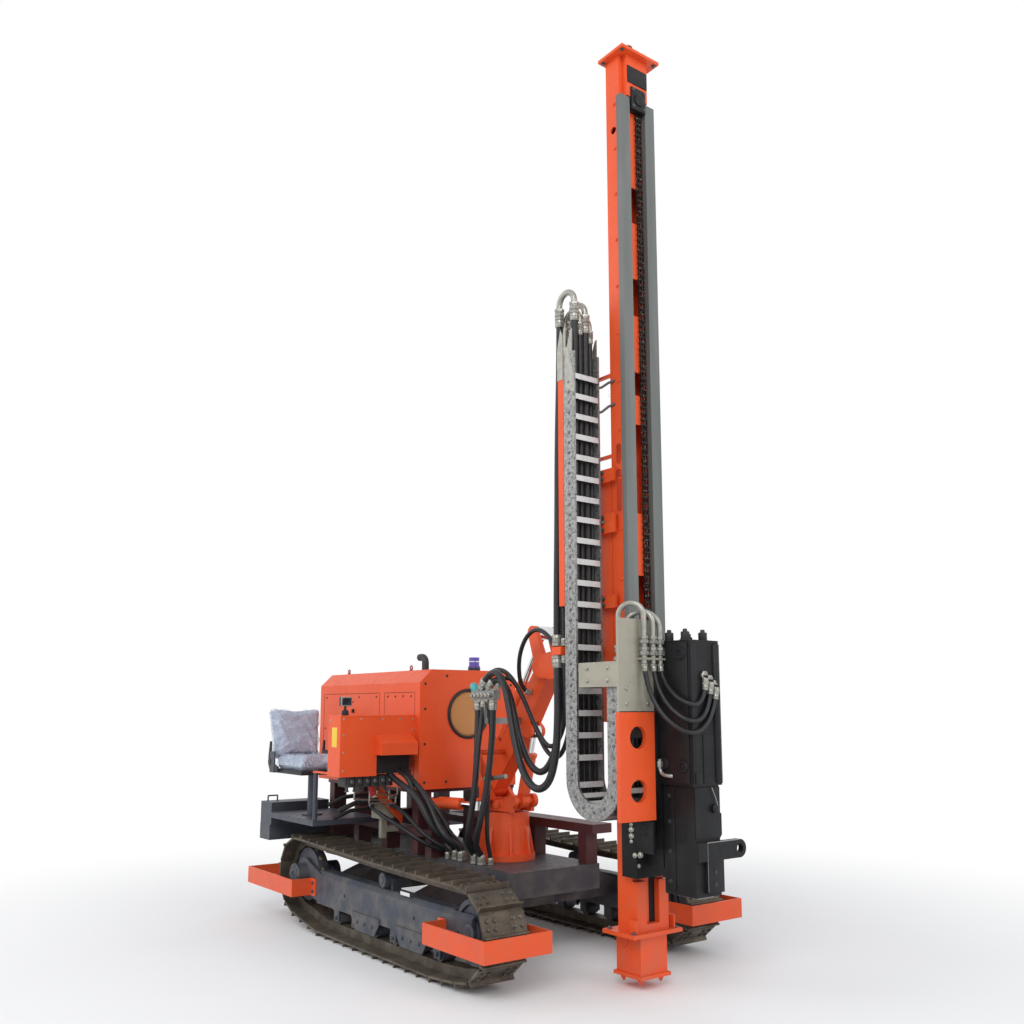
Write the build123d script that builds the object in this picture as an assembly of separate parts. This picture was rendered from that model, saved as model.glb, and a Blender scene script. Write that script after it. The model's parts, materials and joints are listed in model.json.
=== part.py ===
from build123d import *
import math
import os

# Machine frame in millimetres: Z up from the ground, the mast at the -Y end, right side at -X
os.makedirs("parts", exist_ok=True)

SIDES = {"right": -1, "left": 1}
FIT = 0.3
OVERRUN = 40
HALF = 0.5
GROWN = []


def block(x0, x1, y0, y1, z0, z1):
    """A box between two corners, in any order along each axis."""
    low = [min(x0, x1), min(y0, y1), min(z0, z1)]
    high = [max(x0, x1), max(y0, y1), max(z0, z1)]
    size = [b - a for a, b in zip(low, high)]
    return Pos(*[(a + b) * HALF for a, b in zip(low, high)]) * Box(*size)


def rod_x(x0, x1, y, z, radius):
    """A round bar along X."""
    length = abs(x1 - x0)
    return Pos((x0 + x1) * HALF, y, z) * Rot(0, 90, 0) * Cylinder(radius, length)


def rod_y(y0, y1, x, z, radius):
    """A round bar along Y."""
    return Pos(x, (y0 + y1) * HALF, z) * Rot(90, 0, 0) * Cylinder(radius, abs(y1 - y0))


def rod_z(z0, z1, x, y, radius):
    """A round bar along Z."""
    return Pos(x, y, (z0 + z1) * HALF) * Cylinder(radius, abs(z1 - z0))


def slab_x(points, x0, x1):
    """A side outline of (y, z) points, extruded from x0 to x1."""
    plane = Plane(origin=(min(x0, x1), 0, 0), x_dir=(0, 1, 0), z_dir=(1, 0, 0))
    face = make_face(Polyline(*points, close=True))
    return plane * extrude(face, abs(x1 - x0))


def slab_y(points, y0, y1):
    """A front outline of (x, z) points, extruded from y0 to y1."""
    plane = Plane(origin=(0, max(y0, y1), 0), x_dir=(1, 0, 0), z_dir=(0, -1, 0))
    face = make_face(Polyline(*points, close=True))
    return plane * extrude(face, abs(y1 - y0))


def tube(points, radius, *bends):
    """A round bar or tube along straight runs, with one bend radius for each inner point."""
    path = FilletPolyline(*points, radius=list(bends))
    return sweep(Plane(origin=path @ 0, z_dir=path % 0) * Circle(radius), path)


def save(node, *shapes):
    """Write one node's solids to its STEP file."""
    solids = [s for shape in shapes for s in shape.solids()]
    export_step(Compound(label=node, children=solids), f"parts/{node}.step")
    GROWN.append(node)


# Undercarriage sizes
GAUGE = 1600
SHOE_WIDTH = 300
IDLER_Y, IDLER_Z, IDLER_PIN_R = -900, 315, 228
DRIVE_Y, DRIVE_Z, DRIVE_PIN_R = 1265, 365, 233
GROUSER_N = 62
PLATE_OUT, PLATE_IN = 38, 26
LINK_IN, LINK_OUT, LINK_WIDTH = 30, 28, 100
FLAT_FRONT_Y, FLAT_REAR_Y = -620, 890
CARRIER_Y, CARRIER_PIN_Z = 100, 556
SHOE_PITCH = 135
SHOE_HALF_SHARE = 0.482
GROUSER_FOOT, GROUSER_TIP = 16, 10
ARC_STEPS = 60


def arc_points(cy, cz, radius, start, stop):
    """Points along an arc in the (y, z) plane, by angle in degrees."""
    turns = [start + (stop - start) * i / ARC_STEPS for i in range(ARC_STEPS + 1)]
    return [(cy + radius * math.cos(math.radians(a)), cz + radius * math.sin(math.radians(a))) for a in turns]


def track_path():
    """The closed line of the track's pins, from the rear ground point forwards and round."""
    low_front = math.degrees(math.atan2(IDLER_Z - IDLER_PIN_R - GROUSER_N, FLAT_FRONT_Y - IDLER_Y))
    low_rear = math.degrees(math.atan2(DRIVE_Z - DRIVE_PIN_R - GROUSER_N, DRIVE_Y - FLAT_REAR_Y))
    top_front = math.degrees(math.atan2(CARRIER_PIN_Z - IDLER_Z - IDLER_PIN_R, CARRIER_Y - IDLER_Y))
    top_rear = math.degrees(math.atan2(DRIVE_Z + DRIVE_PIN_R - CARRIER_PIN_Z, DRIVE_Y - CARRIER_Y))
    front = arc_points(IDLER_Y, IDLER_Z, IDLER_PIN_R, 270 - low_front, 90 + top_front)
    rear = arc_points(DRIVE_Y, DRIVE_Z, DRIVE_PIN_R, 90 + top_rear, -90 + low_rear)
    ground = [(FLAT_REAR_Y, GROUSER_N), (FLAT_FRONT_Y, GROUSER_N)]
    return ground + front + [(CARRIER_Y, CARRIER_PIN_Z)] + rear


def pins_on(path):
    """Pins spread evenly round a closed path, a whole number of them."""
    ends = path[1:] + path[:1]
    steps = [math.dist(a, b) for a, b in zip(path, ends)]
    total = sum(steps)
    count = round(total / SHOE_PITCH)
    pins, walked, index = [], 0, 0
    for i in range(count):
        target = total * i / count
        while walked + steps[index] < target:
            walked += steps[index]
            index += 1
        share = (target - walked) / steps[index]
        a, b = path[index], ends[index]
        pins.append((a[0] + (b[0] - a[0]) * share, a[1] + (b[1] - a[1]) * share))
    return pins


def shoe_profile():
    """One shoe's outline along its link: (place from the link's middle, height off the pin line)."""
    half = SHOE_PITCH * SHOE_HALF_SHARE
    return [(-half, PLATE_IN), (-half, GROUSER_N), (GROUSER_TIP - half, GROUSER_N),
            (GROUSER_FOOT - half, PLATE_OUT), (half, PLATE_OUT), (half, PLATE_IN)]


def ring_offset(pins, offset):
    """The pins' polygon moved outwards by an offset, square to each pair of links."""
    moved = []
    for i, pin in enumerate(pins):
        before, after = pins[i - 1], pins[(i + 1) % len(pins)]
        along = (after[0] - before[0], after[1] - before[1])
        size = math.hypot(*along)
        moved.append((pin[0] + along[1] / size * offset, pin[1] - along[0] / size * offset))
    return moved


def outward(a, b):
    """Unit vectors along a link and out of the loop. The path runs forwards along the ground."""
    size = math.dist(a, b)
    along = ((b[0] - a[0]) / size, (b[1] - a[1]) / size)
    return along, (along[1], -along[0])


def track(side):
    """One closed track: shoes with their grousers, on a narrower ring of links."""
    pins = pins_on(track_path())
    sign = 1 if outward(pins[0], pins[1])[1][1] < 0 else -1
    outer = []
    for i, pin in enumerate(pins):
        nxt = pins[(i + 1) % len(pins)]
        along, out = outward(pin, nxt)
        middle = ((pin[0] + nxt[0]) * HALF, (pin[1] + nxt[1]) * HALF)
        for place, height in shoe_profile():
            outer.append((middle[0] + along[0] * place + sign * out[0] * height,
                          middle[1] + along[1] * place + sign * out[1] * height))
    middle_x = side * GAUGE * HALF
    wide, link = SHOE_WIDTH * HALF, LINK_WIDTH * HALF
    inner_skin = ring_offset(pins, sign * (PLATE_IN - (LINK_OUT - PLATE_IN)))
    shoes = slab_x(outer, middle_x - wide, middle_x + wide) - slab_x(
        inner_skin, middle_x - wide - OVERRUN, middle_x + wide + OVERRUN)
    links = slab_x(ring_offset(pins, sign * LINK_OUT), middle_x - link, middle_x + link) - slab_x(
        ring_offset(pins, -sign * LINK_IN), middle_x - link - OVERRUN, middle_x + link + OVERRUN)
    return shoes + links


# Track frame sizes
BEAM_HALF = 70
BEAM_LOW, BEAM_TOP = 190, 415
BEAM_FRONT, BEAM_REAR = -925, 1050
BEAM_BEVEL = 28
IDLER_R, IDLER_HALF = 184, 40
IDLER_HUB_R, IDLER_AXLE_R = 62, 28
FORK_GAP = 6
DRIVE_R, DRIVE_HALF = 188, 38
MOTOR_R, MOTOR_OUT, MOTOR_IN = 80, 150, 190
BRACKET_THICK, BRACKET_R, BRACKET_FRONT = 15, 118, 960
ROLLER_R, ROLLER_HALF = 45, 48
ROLLER_Z = GROUSER_N + LINK_IN + ROLLER_R + FIT
ROLLER_AXLE_R = 18
ROLLER_YS = [-560, -300, -40, 220, 480, 740]
EAR_THICK, EAR_LOW, EAR_HALF = 12, 112, 34
CARRIER_R = 46
CARRIER_Z = CARRIER_PIN_Z - LINK_IN - CARRIER_R - 5
GUARD_PLATE_YS = [(-470, -90), (120, 500)]
GUARD_PLATE_LOW, GUARD_PLATE_THICK, GUARD_SLOPE = 108, 10, 60


def track_frame(side):
    """The box beam inside a track, with its idler fork, roller ears and motor bracket."""
    mid = side * GAUGE * HALF
    outline = [(-BEAM_HALF, BEAM_LOW), (BEAM_HALF, BEAM_LOW), (BEAM_HALF, BEAM_TOP - BEAM_BEVEL),
               (BEAM_HALF - BEAM_BEVEL, BEAM_TOP), (-BEAM_HALF + BEAM_BEVEL, BEAM_TOP),
               (-BEAM_HALF, BEAM_TOP - BEAM_BEVEL)]
    body = Pos(mid, 0, 0) * slab_y(outline, BEAM_FRONT, BEAM_REAR)
    gap = IDLER_HALF + FORK_GAP
    body -= block(mid - gap, mid + gap, BEAM_FRONT - OVERRUN, IDLER_Y + IDLER_R + FORK_GAP,
                  BEAM_LOW - OVERRUN, BEAM_TOP + OVERRUN)
    body -= rod_x(mid - BEAM_HALF - OVERRUN, mid + BEAM_HALF + OVERRUN, IDLER_Y, IDLER_Z, IDLER_AXLE_R + FIT)
    for face in (-1, 1):
        outer = mid + face * BEAM_HALF
        inner = outer - face * BRACKET_THICK
        arm = slab_x([(BRACKET_FRONT, BEAM_LOW), (DRIVE_Y, DRIVE_Z - BRACKET_R), (DRIVE_Y, DRIVE_Z + BRACKET_R),
                      (BRACKET_FRONT, BEAM_TOP - BEAM_BEVEL)], inner, outer)
        arm += rod_x(inner, outer, DRIVE_Y, DRIVE_Z, BRACKET_R)
        body += arm - rod_x(inner - OVERRUN, outer + OVERRUN, DRIVE_Y, DRIVE_Z, MOTOR_R + FIT)
        for y in ROLLER_YS:
            body += block(inner, inner + face * EAR_THICK, y - EAR_HALF, y + EAR_HALF, EAR_LOW, BEAM_LOW)
    for y0, y1 in GUARD_PLATE_YS:
        face = mid + side * BEAM_HALF
        body += slab_x([(y0, BEAM_LOW + EAR_HALF), (y0, BEAM_LOW), (y0 + GUARD_SLOPE, GUARD_PLATE_LOW),
                        (y1 - GUARD_SLOPE, GUARD_PLATE_LOW), (y1, BEAM_LOW), (y1, BEAM_LOW + EAR_HALF)],
                       face, face + side * GUARD_PLATE_THICK)
    body += block(mid - EAR_HALF, mid + EAR_HALF, CARRIER_Y - CARRIER_R - EAR_THICK - EAR_THICK,
                  CARRIER_Y - CARRIER_R - EAR_THICK, BEAM_TOP, CARRIER_Z + EAR_THICK)
    return body


def idler(side):
    """The front wheel of a track, with its hub and axle."""
    mid = side * GAUGE * HALF
    wheel = rod_x(mid - IDLER_HALF, mid + IDLER_HALF, IDLER_Y, IDLER_Z, IDLER_R)
    for face in (-1, 1):
        web = mid + face * IDLER_HALF
        ring = rod_x(web, web - face * BRACKET_THICK, IDLER_Y, IDLER_Z, IDLER_R - BEAM_BEVEL)
        wheel -= ring - rod_x(web + face, web - face * BRACKET_THICK, IDLER_Y, IDLER_Z, IDLER_HUB_R)
    return wheel + rod_x(mid - BEAM_HALF, mid + BEAM_HALF, IDLER_Y, IDLER_Z, IDLER_AXLE_R)


def sprocket(side):
    """The rear drive wheel of a track, with its round motor cover."""
    mid = side * GAUGE * HALF
    wheel = rod_x(mid - DRIVE_HALF, mid + DRIVE_HALF, DRIVE_Y, DRIVE_Z, DRIVE_R)
    drum = rod_x(mid + side * MOTOR_OUT, mid - side * MOTOR_IN, DRIVE_Y, DRIVE_Z, MOTOR_R)
    return wheel + drum


def rollers(side):
    """The bottom rollers between their ears and the carrier roller on top."""
    mid = side * GAUGE * HALF
    axle = BEAM_HALF - BRACKET_THICK - FIT
    row = [rod_x(mid - ROLLER_HALF, mid + ROLLER_HALF, y, ROLLER_Z, ROLLER_R)
           + rod_x(mid - axle, mid + axle, y, ROLLER_Z, ROLLER_AXLE_R) for y in ROLLER_YS]
    post = CARRIER_Y - CARRIER_R - EAR_THICK
    row.append(rod_y(post + FIT, CARRIER_Y - CARRIER_R * HALF, mid, CARRIER_Z, EAR_THICK)
               + rod_x(mid - ROLLER_HALF * side, mid + BEAM_HALF * side, CARRIER_Y, CARRIER_Z, CARRIER_R))
    return row


# Bent guards round the track ends
GUARD_INSIDE, GUARD_OUTSIDE, GUARD_THICK = 85, 80, 10
GUARD_IN = (GAUGE - SHOE_WIDTH) * HALF - GUARD_INSIDE
GUARD_OUT = (GAUGE + SHOE_WIDTH) * HALF + GUARD_OUTSIDE
GUARD_FRONT, GUARD_FRONT_END, GUARD_FRONT_LOW = -1275, -655, 235
GUARD_REAR, GUARD_REAR_END, GUARD_REAR_LOW = 1940, 1130, 235
GUARD_TALL = 120
GUARD_FLANGE = 70


def guard(side, y_far, y_end, low):
    """A flat bar bent round a track's end, from the beam's outer face to its inner face."""
    step = 1 if y_end > y_far else -1
    out, inn = side * GUARD_OUT, side * GUARD_IN
    beam_out, beam_in = side * (GAUGE * HALF + BEAM_HALF + FIT), side * (GAUGE * HALF - BEAM_HALF - FIT)
    high, t = low + GUARD_TALL, GUARD_THICK
    bar = block(out, out - side * t, y_far, y_end, low, high)
    bar += block(out, inn, y_far, y_far + step * t, low, high)
    bar += block(inn, inn + side * t, y_far, y_end, low, high)
    for edge, beam in ((out, beam_out), (inn, beam_in)):
        bar += block(edge, beam, y_end, y_end - step * t, low, high)
        foot = side * t if edge == out else -side * t
        bar += block(beam, beam + foot, y_end, y_end + step * GUARD_FLANGE, low, high)
    return bar


# Chassis sizes
CHASSIS_HALF, CHASSIS_LOW, CHASSIS_TOP = 360, 400, 560
CHASSIS_FRONT, CHASSIS_REAR = -640, 1950
CROSS_YS = [(-400, -60), (700, 960)]
CROSS_LOW, CROSS_TOP = 290, 430
UPPER_HALF, UPPER_BAR = 420, 110
UPPER_RAIL, UPPER_FOOT = 50, 80
UPPER_TOP, UPPER_FRONT, UPPER_REAR = 740, 220, 1790
POST_YS = [(400, 480), (830, 910), (1270, 1350), (1700, 1780)]
LEFT_RAIL = (250, 420, -700, 400, 762, 822)
LEFT_POST_YS = [-620, -70, 290]
HOOD_LOW = 1010
DECK_THICK = 12
HOOD_HALF = 430
RAM_HALF, RAM_GAP, PIN_R, EYE_R = 30, 3, 25, 46
SWING_FOOT, SWING_EYE, SWING_RAM_Z = (-330, 330), (-215, -60), 925


def chassis():
    """The centre box and the two cross beams that carry the track frames."""
    body = block(-CHASSIS_HALF, CHASSIS_HALF, CHASSIS_FRONT, CHASSIS_REAR, CHASSIS_LOW, CHASSIS_TOP)
    reach = GAUGE * HALF - BEAM_HALF - FIT
    for y0, y1 in CROSS_YS:
        body += slab_y([(-reach, CROSS_LOW), (reach, CROSS_LOW), (reach, CROSS_TOP - BEAM_BEVEL),
                        (CHASSIS_HALF, CHASSIS_TOP - BEAM_BEVEL), (-CHASSIS_HALF, CHASSIS_TOP - BEAM_BEVEL),
                        (-reach, CROSS_TOP - BEAM_BEVEL)], y0, y1)
    return body


def upper_frame():
    """Two long rails on short feet, posts and a deck under the hood, and the left rail that runs forward."""
    body = None
    for sign in SIDES.values():
        outer, inner = sign * UPPER_HALF, sign * (UPPER_HALF - UPPER_BAR)
        rail = block(outer, inner, UPPER_FRONT, UPPER_REAR, UPPER_TOP - UPPER_RAIL, UPPER_TOP)
        for y0, y1 in POST_YS + [(UPPER_FRONT, UPPER_FRONT + UPPER_FOOT)]:
            rail += block(outer, inner, y0, y1, CHASSIS_TOP + FIT, UPPER_TOP)
        for y0, y1 in POST_YS:
            rail += block(outer, inner, y0, y1, UPPER_TOP, HOOD_LOW - DECK_THICK)
        body = rail if body is None else body + rail
    body += block(-UPPER_HALF, UPPER_HALF, UPPER_REAR - UPPER_FOOT, UPPER_REAR, CHASSIS_TOP + FIT, UPPER_TOP)
    x0, x1, y0, y1, z0, z1 = LEFT_RAIL
    body += block(*LEFT_RAIL)
    for y in LEFT_POST_YS:
        body += block(x0 + DECK_THICK, min(x1, CHASSIS_HALF), y, y + UPPER_FOOT, CHASSIS_TOP + FIT, z0)
    body += rod_z(UPPER_TOP - DECK_THICK, SWING_RAM_Z - RAM_HALF - RAM_GAP, *SWING_FOOT, EYE_R - RAM_GAP)
    body += rod_z(SWING_RAM_Z - RAM_HALF - OVERRUN, SWING_RAM_Z + RAM_HALF + RAM_GAP, *SWING_FOOT, PIN_R)
    body += block(-HOOD_HALF, HOOD_HALF, POST_YS[0][0], UPPER_REAR, HOOD_LOW - DECK_THICK - DECK_THICK,
                  HOOD_LOW - FIT)
    return body


# Hood sizes
HOOD_RIDGE_HALF = 330
HOOD_FRONT, HOOD_REAR = 380, 1975
HOOD_EAVE, HOOD_TOP = 1770, 1865
HOOD_WALL = 5
FAN_X, FAN_Z, FAN_R = -10, 1545, 165
DOOR_Y0, DOOR_Y1, DOOR_Z0, DOOR_Z1 = 950, 1900, 1080, 1700
DOOR_GAP = 6
HINGE_R, HINGE_PIN_R, HINGE_OUT, HINGE_LUG = 6, 3, 4, 16
HINGE_X, HINGE_Y = HOOD_HALF + HINGE_OUT, DOOR_Y1 - DOOR_GAP - HINGE_R
RUN_CLEAR = 0.05
ENGINE = (-260, 260, 800, 1750, 1100, 1640)


def hood_outline(inset):
    """The hood's front outline, moved inwards."""
    half, top, ridge = HOOD_HALF - inset, HOOD_TOP - inset, HOOD_RIDGE_HALF - inset * HALF
    eave = HOOD_EAVE - inset * HALF
    return [(-half, HOOD_LOW), (half, HOOD_LOW), (half, eave), (ridge, top), (-ridge, top), (-half, eave)]


def hood():
    """The sheet hood over the engine, open below, with a round opening in front."""
    body = slab_y(hood_outline(0), HOOD_FRONT, HOOD_REAR)
    body -= Pos(0, 0, -FIT) * slab_y(hood_outline(HOOD_WALL), HOOD_FRONT + HOOD_WALL, HOOD_REAR - HOOD_WALL)
    body -= rod_y(HOOD_FRONT - OVERRUN, HOOD_FRONT + OVERRUN, FAN_X, FAN_Z, FAN_R)
    body -= block(HOOD_HALF - OVERRUN, HOOD_HALF + OVERRUN, DOOR_Y0, DOOR_Y1, DOOR_Z0, DOOR_Z1)
    lug_x, lug_y = HOOD_HALF + HINGE_R + HINGE_OUT, DOOR_Y1 - DOOR_GAP
    for z0, z1 in ((DOOR_Z0 - HINGE_LUG, DOOR_Z0), (DOOR_Z1, DOOR_Z1 + HINGE_LUG)):
        body += block(HOOD_HALF - FIT, lug_x, lug_y, lug_y - HINGE_R - HINGE_R, z0, z1)
    return body + rod_z(DOOR_Z0 - FIT, DOOR_Z1 + FIT, HINGE_X, HINGE_Y, HINGE_PIN_R)


def hood_door():
    """The left service door, a sheet set into the hood's opening, with its hinge tube."""
    g = DOOR_GAP
    sheet = block(HOOD_HALF - HOOD_WALL, HOOD_HALF, DOOR_Y0 + g, DOOR_Y1 - g, DOOR_Z0 + g, DOOR_Z1 - g)
    sheet += rod_z(DOOR_Z0 + g, DOOR_Z1 - g, HINGE_X, HINGE_Y, HINGE_R)
    return sheet - rod_z(DOOR_Z0 - OVERRUN, DOOR_Z1 + OVERRUN, HINGE_X, HINGE_Y, HINGE_PIN_R + RUN_CLEAR)


def fan_guard():
    """The ring and disc behind the hood's round opening."""
    back = HOOD_FRONT + HOOD_WALL + FIT
    ring = rod_y(back, back + DECK_THICK, FAN_X, FAN_Z, FAN_R + OVERRUN * HALF)
    return ring + rod_y(HOOD_FRONT, back, FAN_X, FAN_Z, FAN_R - DECK_THICK)


# Operator place sizes
CAB_IN, CAB_OUT = -HOOD_HALF - FIT, -1030
CAB_FRONT, CAB_REAR = 430, 610
CAB_LOW, CAB_TOP = 1120, 1533
CAB_RAISED_X, CAB_RAISED_Z = -745, 1262
AWNING_X0, AWNING_X1 = -760, -470
LEG_LOW, LEG_DEEP = 760, 60
POST_X, POST_Y, POST_R = -935, 985, 16
AWNING_TOP, AWNING_LIP, AWNING_LOW, AWNING_REACH = 1402, 1345, 1262, 100
PLATFORM_X, PLATFORM_Y0, PLATFORM_Y1 = -960, 960, 1750
PLATFORM_LOW, PLATFORM_TOP = 742, 782
SEAT_X0, SEAT_X1, SEAT_X, SEAT_Y = -1000, -560, -780, 1350
SEAT_COLUMN_R, SEAT_PAN_LOW, SEAT_PAN_TOP = 38, 1095, 1125
CUSHION_Y0, CUSHION_Y1, CUSHION_TOP = 1110, 1600, 1215
BACK_Y, BACK_THICK, BACK_TOP, BACK_LEAN = 1600, 110, 1590, 70
SOFT = 0.3


def control_box():
    """The lever box beside the hood, with a sloped cover over its hoses."""
    outline = [(CAB_OUT, CAB_LOW), (CAB_RAISED_X, CAB_LOW), (CAB_RAISED_X, CAB_RAISED_Z), (CAB_IN, CAB_RAISED_Z),
               (CAB_IN, CAB_TOP), (CAB_OUT, CAB_TOP)]
    body = slab_y(outline, CAB_FRONT, CAB_REAR)
    cover = slab_x([(CAB_FRONT + OVERRUN, AWNING_TOP), (CAB_FRONT, AWNING_TOP),
                    (CAB_FRONT - AWNING_REACH, AWNING_LIP), (CAB_FRONT - AWNING_REACH, AWNING_LOW),
                    (CAB_FRONT + OVERRUN, AWNING_LOW)], AWNING_X0, AWNING_X1)
    leg = slab_y([(CAB_IN, LEG_LOW), (CAB_IN, LEG_LOW + LEG_DEEP), (CAB_RAISED_X + LEG_DEEP, CAB_LOW + FIT),
                  (CAB_RAISED_X - LEG_DEEP, CAB_LOW + FIT)], CAB_REAR - DECK_THICK, CAB_REAR)
    post = rod_z(PLATFORM_TOP + FIT, CAB_LOW, POST_X, POST_Y, POST_R)
    shelf = block(POST_X - POST_R, POST_X + POST_R, CAB_REAR - DECK_THICK, POST_Y + POST_R, CAB_LOW,
                  CAB_LOW + DECK_THICK)
    return body + cover + leg + post + shelf


def platform():
    """The foot plate with its folded rim and the braces that carry it."""
    inner = -UPPER_HALF - FIT
    body = block(PLATFORM_X, inner, PLATFORM_Y0, PLATFORM_Y1, PLATFORM_TOP - DECK_THICK, PLATFORM_TOP)
    body += block(PLATFORM_X, inner, PLATFORM_Y0, PLATFORM_Y0 + DECK_THICK, PLATFORM_LOW, PLATFORM_TOP)
    body += block(PLATFORM_X, inner, PLATFORM_Y1 - DECK_THICK, PLATFORM_Y1, PLATFORM_LOW, PLATFORM_TOP)
    body += block(PLATFORM_X, PLATFORM_X + DECK_THICK, PLATFORM_Y0, PLATFORM_Y1, PLATFORM_LOW, PLATFORM_TOP)
    return body


def seat_base():
    """The seat's column, foot flange, pan and recliner arms."""
    body = rod_z(PLATFORM_TOP + FIT, SEAT_PAN_LOW, SEAT_X, SEAT_Y, SEAT_COLUMN_R)
    body += rod_z(PLATFORM_TOP + FIT, PLATFORM_TOP + DECK_THICK, SEAT_X, SEAT_Y, SEAT_COLUMN_R + OVERRUN)
    body += block(SEAT_X0 + OVERRUN, SEAT_X1 - OVERRUN, CUSHION_Y0 + OVERRUN, CUSHION_Y1, SEAT_PAN_LOW, SEAT_PAN_TOP)
    for x in (SEAT_X0 - DECK_THICK - SOFT, SEAT_X1 + SOFT):
        side_bar = block(x, x + DECK_THICK, CUSHION_Y1 - OVERRUN, CUSHION_Y1 + OVERRUN, SEAT_PAN_LOW,
                         CUSHION_TOP + OVERRUN)
        link = block(x, SEAT_X, CUSHION_Y1 - OVERRUN, CUSHION_Y1, SEAT_PAN_LOW, SEAT_PAN_LOW + DECK_THICK)
        body += side_bar + link
    return body


def seat_cushion():
    """The padded cushion on the pan."""
    shape = block(SEAT_X0, SEAT_X1, CUSHION_Y0, CUSHION_Y1 - SOFT, SEAT_PAN_TOP + SOFT, CUSHION_TOP)
    return fillet(shape.edges().filter_by(Axis.Z), OVERRUN)


def seat_back():
    """The padded back, leaning rearwards."""
    low = CUSHION_TOP - OVERRUN
    return slab_x([(BACK_Y, low), (BACK_Y + BACK_THICK, low), (BACK_Y + BACK_THICK + BACK_LEAN, BACK_TOP),
                   (BACK_Y + BACK_LEAN, BACK_TOP)], SEAT_X0, SEAT_X1)


# Boxes at the rear
REAR_BEAM = (-930, 930, UPPER_REAR + FIT, HOOD_REAR, CHASSIS_TOP + FIT, 680)
HANDLE_WIDE = 80
REAR_BOX = (-930, -435, 1765, 1970, REAR_BEAM[-1] + FIT, 850)
VALVE_BLOCK = (-600, -480, 630, 750, 800, 960)
VALVE_POST = (-560, -520, 670, 710, 660, 800)
VALVE_ARM = (-560, -UPPER_HALF - FIT, 670, 710, 700, 740)


# Boom sizes
SWING_Y = -70
PEDESTAL_R, PEDESTAL_TOP = 168, 880
TURRET_LOW, TURRET_TOP, TURRET_R = 886, 960, 130
SWING_PIN_R = 55
FOOT_Y, FOOT_Z = 60, 1040
HEAD_Y, HEAD_Z = -580, 1860
BOOM_HALF = 60
LIFT_FOOT = (-270, 960)
LIFT_EYE = (-400, 1430)
TILT_FOOT = (-30, 1337)
TILT_EYE = (-503, 2088)
FORK_HALF = 100
PLAY = 8
BARREL_R, ROD_R = 42, 22


def pedestal():
    """The round casting on the chassis that the boom's turret turns on."""
    base = rod_z(CHASSIS_TOP + FIT, PEDESTAL_TOP, 0, SWING_Y, PEDESTAL_R)
    base += rod_z(CHASSIS_TOP + FIT, CHASSIS_TOP + OVERRUN, 0, SWING_Y, PEDESTAL_R + OVERRUN)
    base += rod_z(PEDESTAL_TOP, TURRET_TOP + PLAY, 0, SWING_Y, SWING_PIN_R)
    return base


def turret():
    """The turning head: a ring on the pedestal's pin with the ears of the boom and its cylinder."""
    ring = rod_z(TURRET_LOW, TURRET_TOP, 0, SWING_Y, TURRET_R)
    ring -= rod_z(TURRET_LOW - OVERRUN, TURRET_TOP + OVERRUN, 0, SWING_Y, SWING_PIN_R + RUN_CLEAR)
    for sign in SIDES.values():
        inner, outer = sign * (BOOM_HALF + PLAY), sign * FORK_HALF
        ear = slab_x([(SWING_Y, TURRET_LOW), (FOOT_Y + EYE_R, TURRET_LOW), (FOOT_Y + EYE_R, FOOT_Z),
                      (FOOT_Y - EYE_R, FOOT_Z), (SWING_Y, TURRET_TOP)], inner, outer)
        ear += rod_x(inner, outer, FOOT_Y, FOOT_Z, EYE_R)
        lug = slab_x([(SWING_Y, TURRET_LOW), (LIFT_FOOT[0], TURRET_LOW), (LIFT_FOOT[0], LIFT_FOOT[1]),
                      (SWING_Y, TURRET_TOP)], inner, outer)
        lug += rod_x(inner, outer, *LIFT_FOOT, EYE_R)
        ring += ear + lug
    ring += block(SWING_EYE[0], 0, SWING_EYE[1] - EYE_R, SWING_EYE[1] + EYE_R, TURRET_TOP, TURRET_TOP + DECK_THICK)
    ring += rod_z(TURRET_TOP, TURRET_TOP + DECK_THICK, *SWING_EYE, EYE_R)
    ring -= rod_z(TURRET_LOW - OVERRUN, TURRET_TOP + OVERRUN, 0, SWING_Y, SWING_PIN_R + RUN_CLEAR)
    ring += rod_x(-FORK_HALF, FORK_HALF, FOOT_Y, FOOT_Z, PIN_R)
    ring += rod_x(-FORK_HALF, FORK_HALF, *LIFT_FOOT, PIN_R)
    return ring

# The boom and its cylinders, which lie in planes square to X
HEAD_R = 75
BOOM_FOOT_HALF, BOOM_HEAD_HALF = 95, 68
EAR_IN, EAR_OUT = 36, 60
RAM_NECK = 56
BORE_START = 60
LIFT_BARREL, LIFT_ROD_IN = 330, 172
TILT_BARREL, TILT_ROD_IN = 500, 384
TILT_HALF = 62
SWING_BARREL, SWING_ROD_IN = 250, 130


def along_line(start, end, distance, aside=0):
    """A point on the line between two (y, z) points, a distance from its start, moved aside."""
    size = math.dist(start, end)
    run = ((end[0] - start[0]) / size, (end[1] - start[1]) / size)
    return (start[0] + run[0] * distance - run[1] * aside, start[1] + run[1] * distance + run[0] * aside)


def place_ram(shape, start, end):
    """Turn a shape built along Z to lie from one (y, z) point to another."""
    tilt = math.degrees(math.atan2(start[0] - end[0], end[1] - start[1]))
    return Pos(0, *start) * Rot(tilt, 0, 0) * shape


def ram_barrel(length, half):
    """A cylinder's barrel along Z, its foot eye at the origin."""
    shape = rod_z(RAM_NECK, length, 0, 0, BARREL_R) + rod_x(-half, half, 0, 0, EYE_R)
    shape += block(-half, half, -half, half, 0, RAM_NECK + RAM_GAP)
    shape -= rod_z(BORE_START, length + OVERRUN, 0, 0, ROD_R + RUN_CLEAR)
    return shape - rod_x(-half - OVERRUN, half + OVERRUN, 0, 0, PIN_R + RUN_CLEAR)


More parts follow.
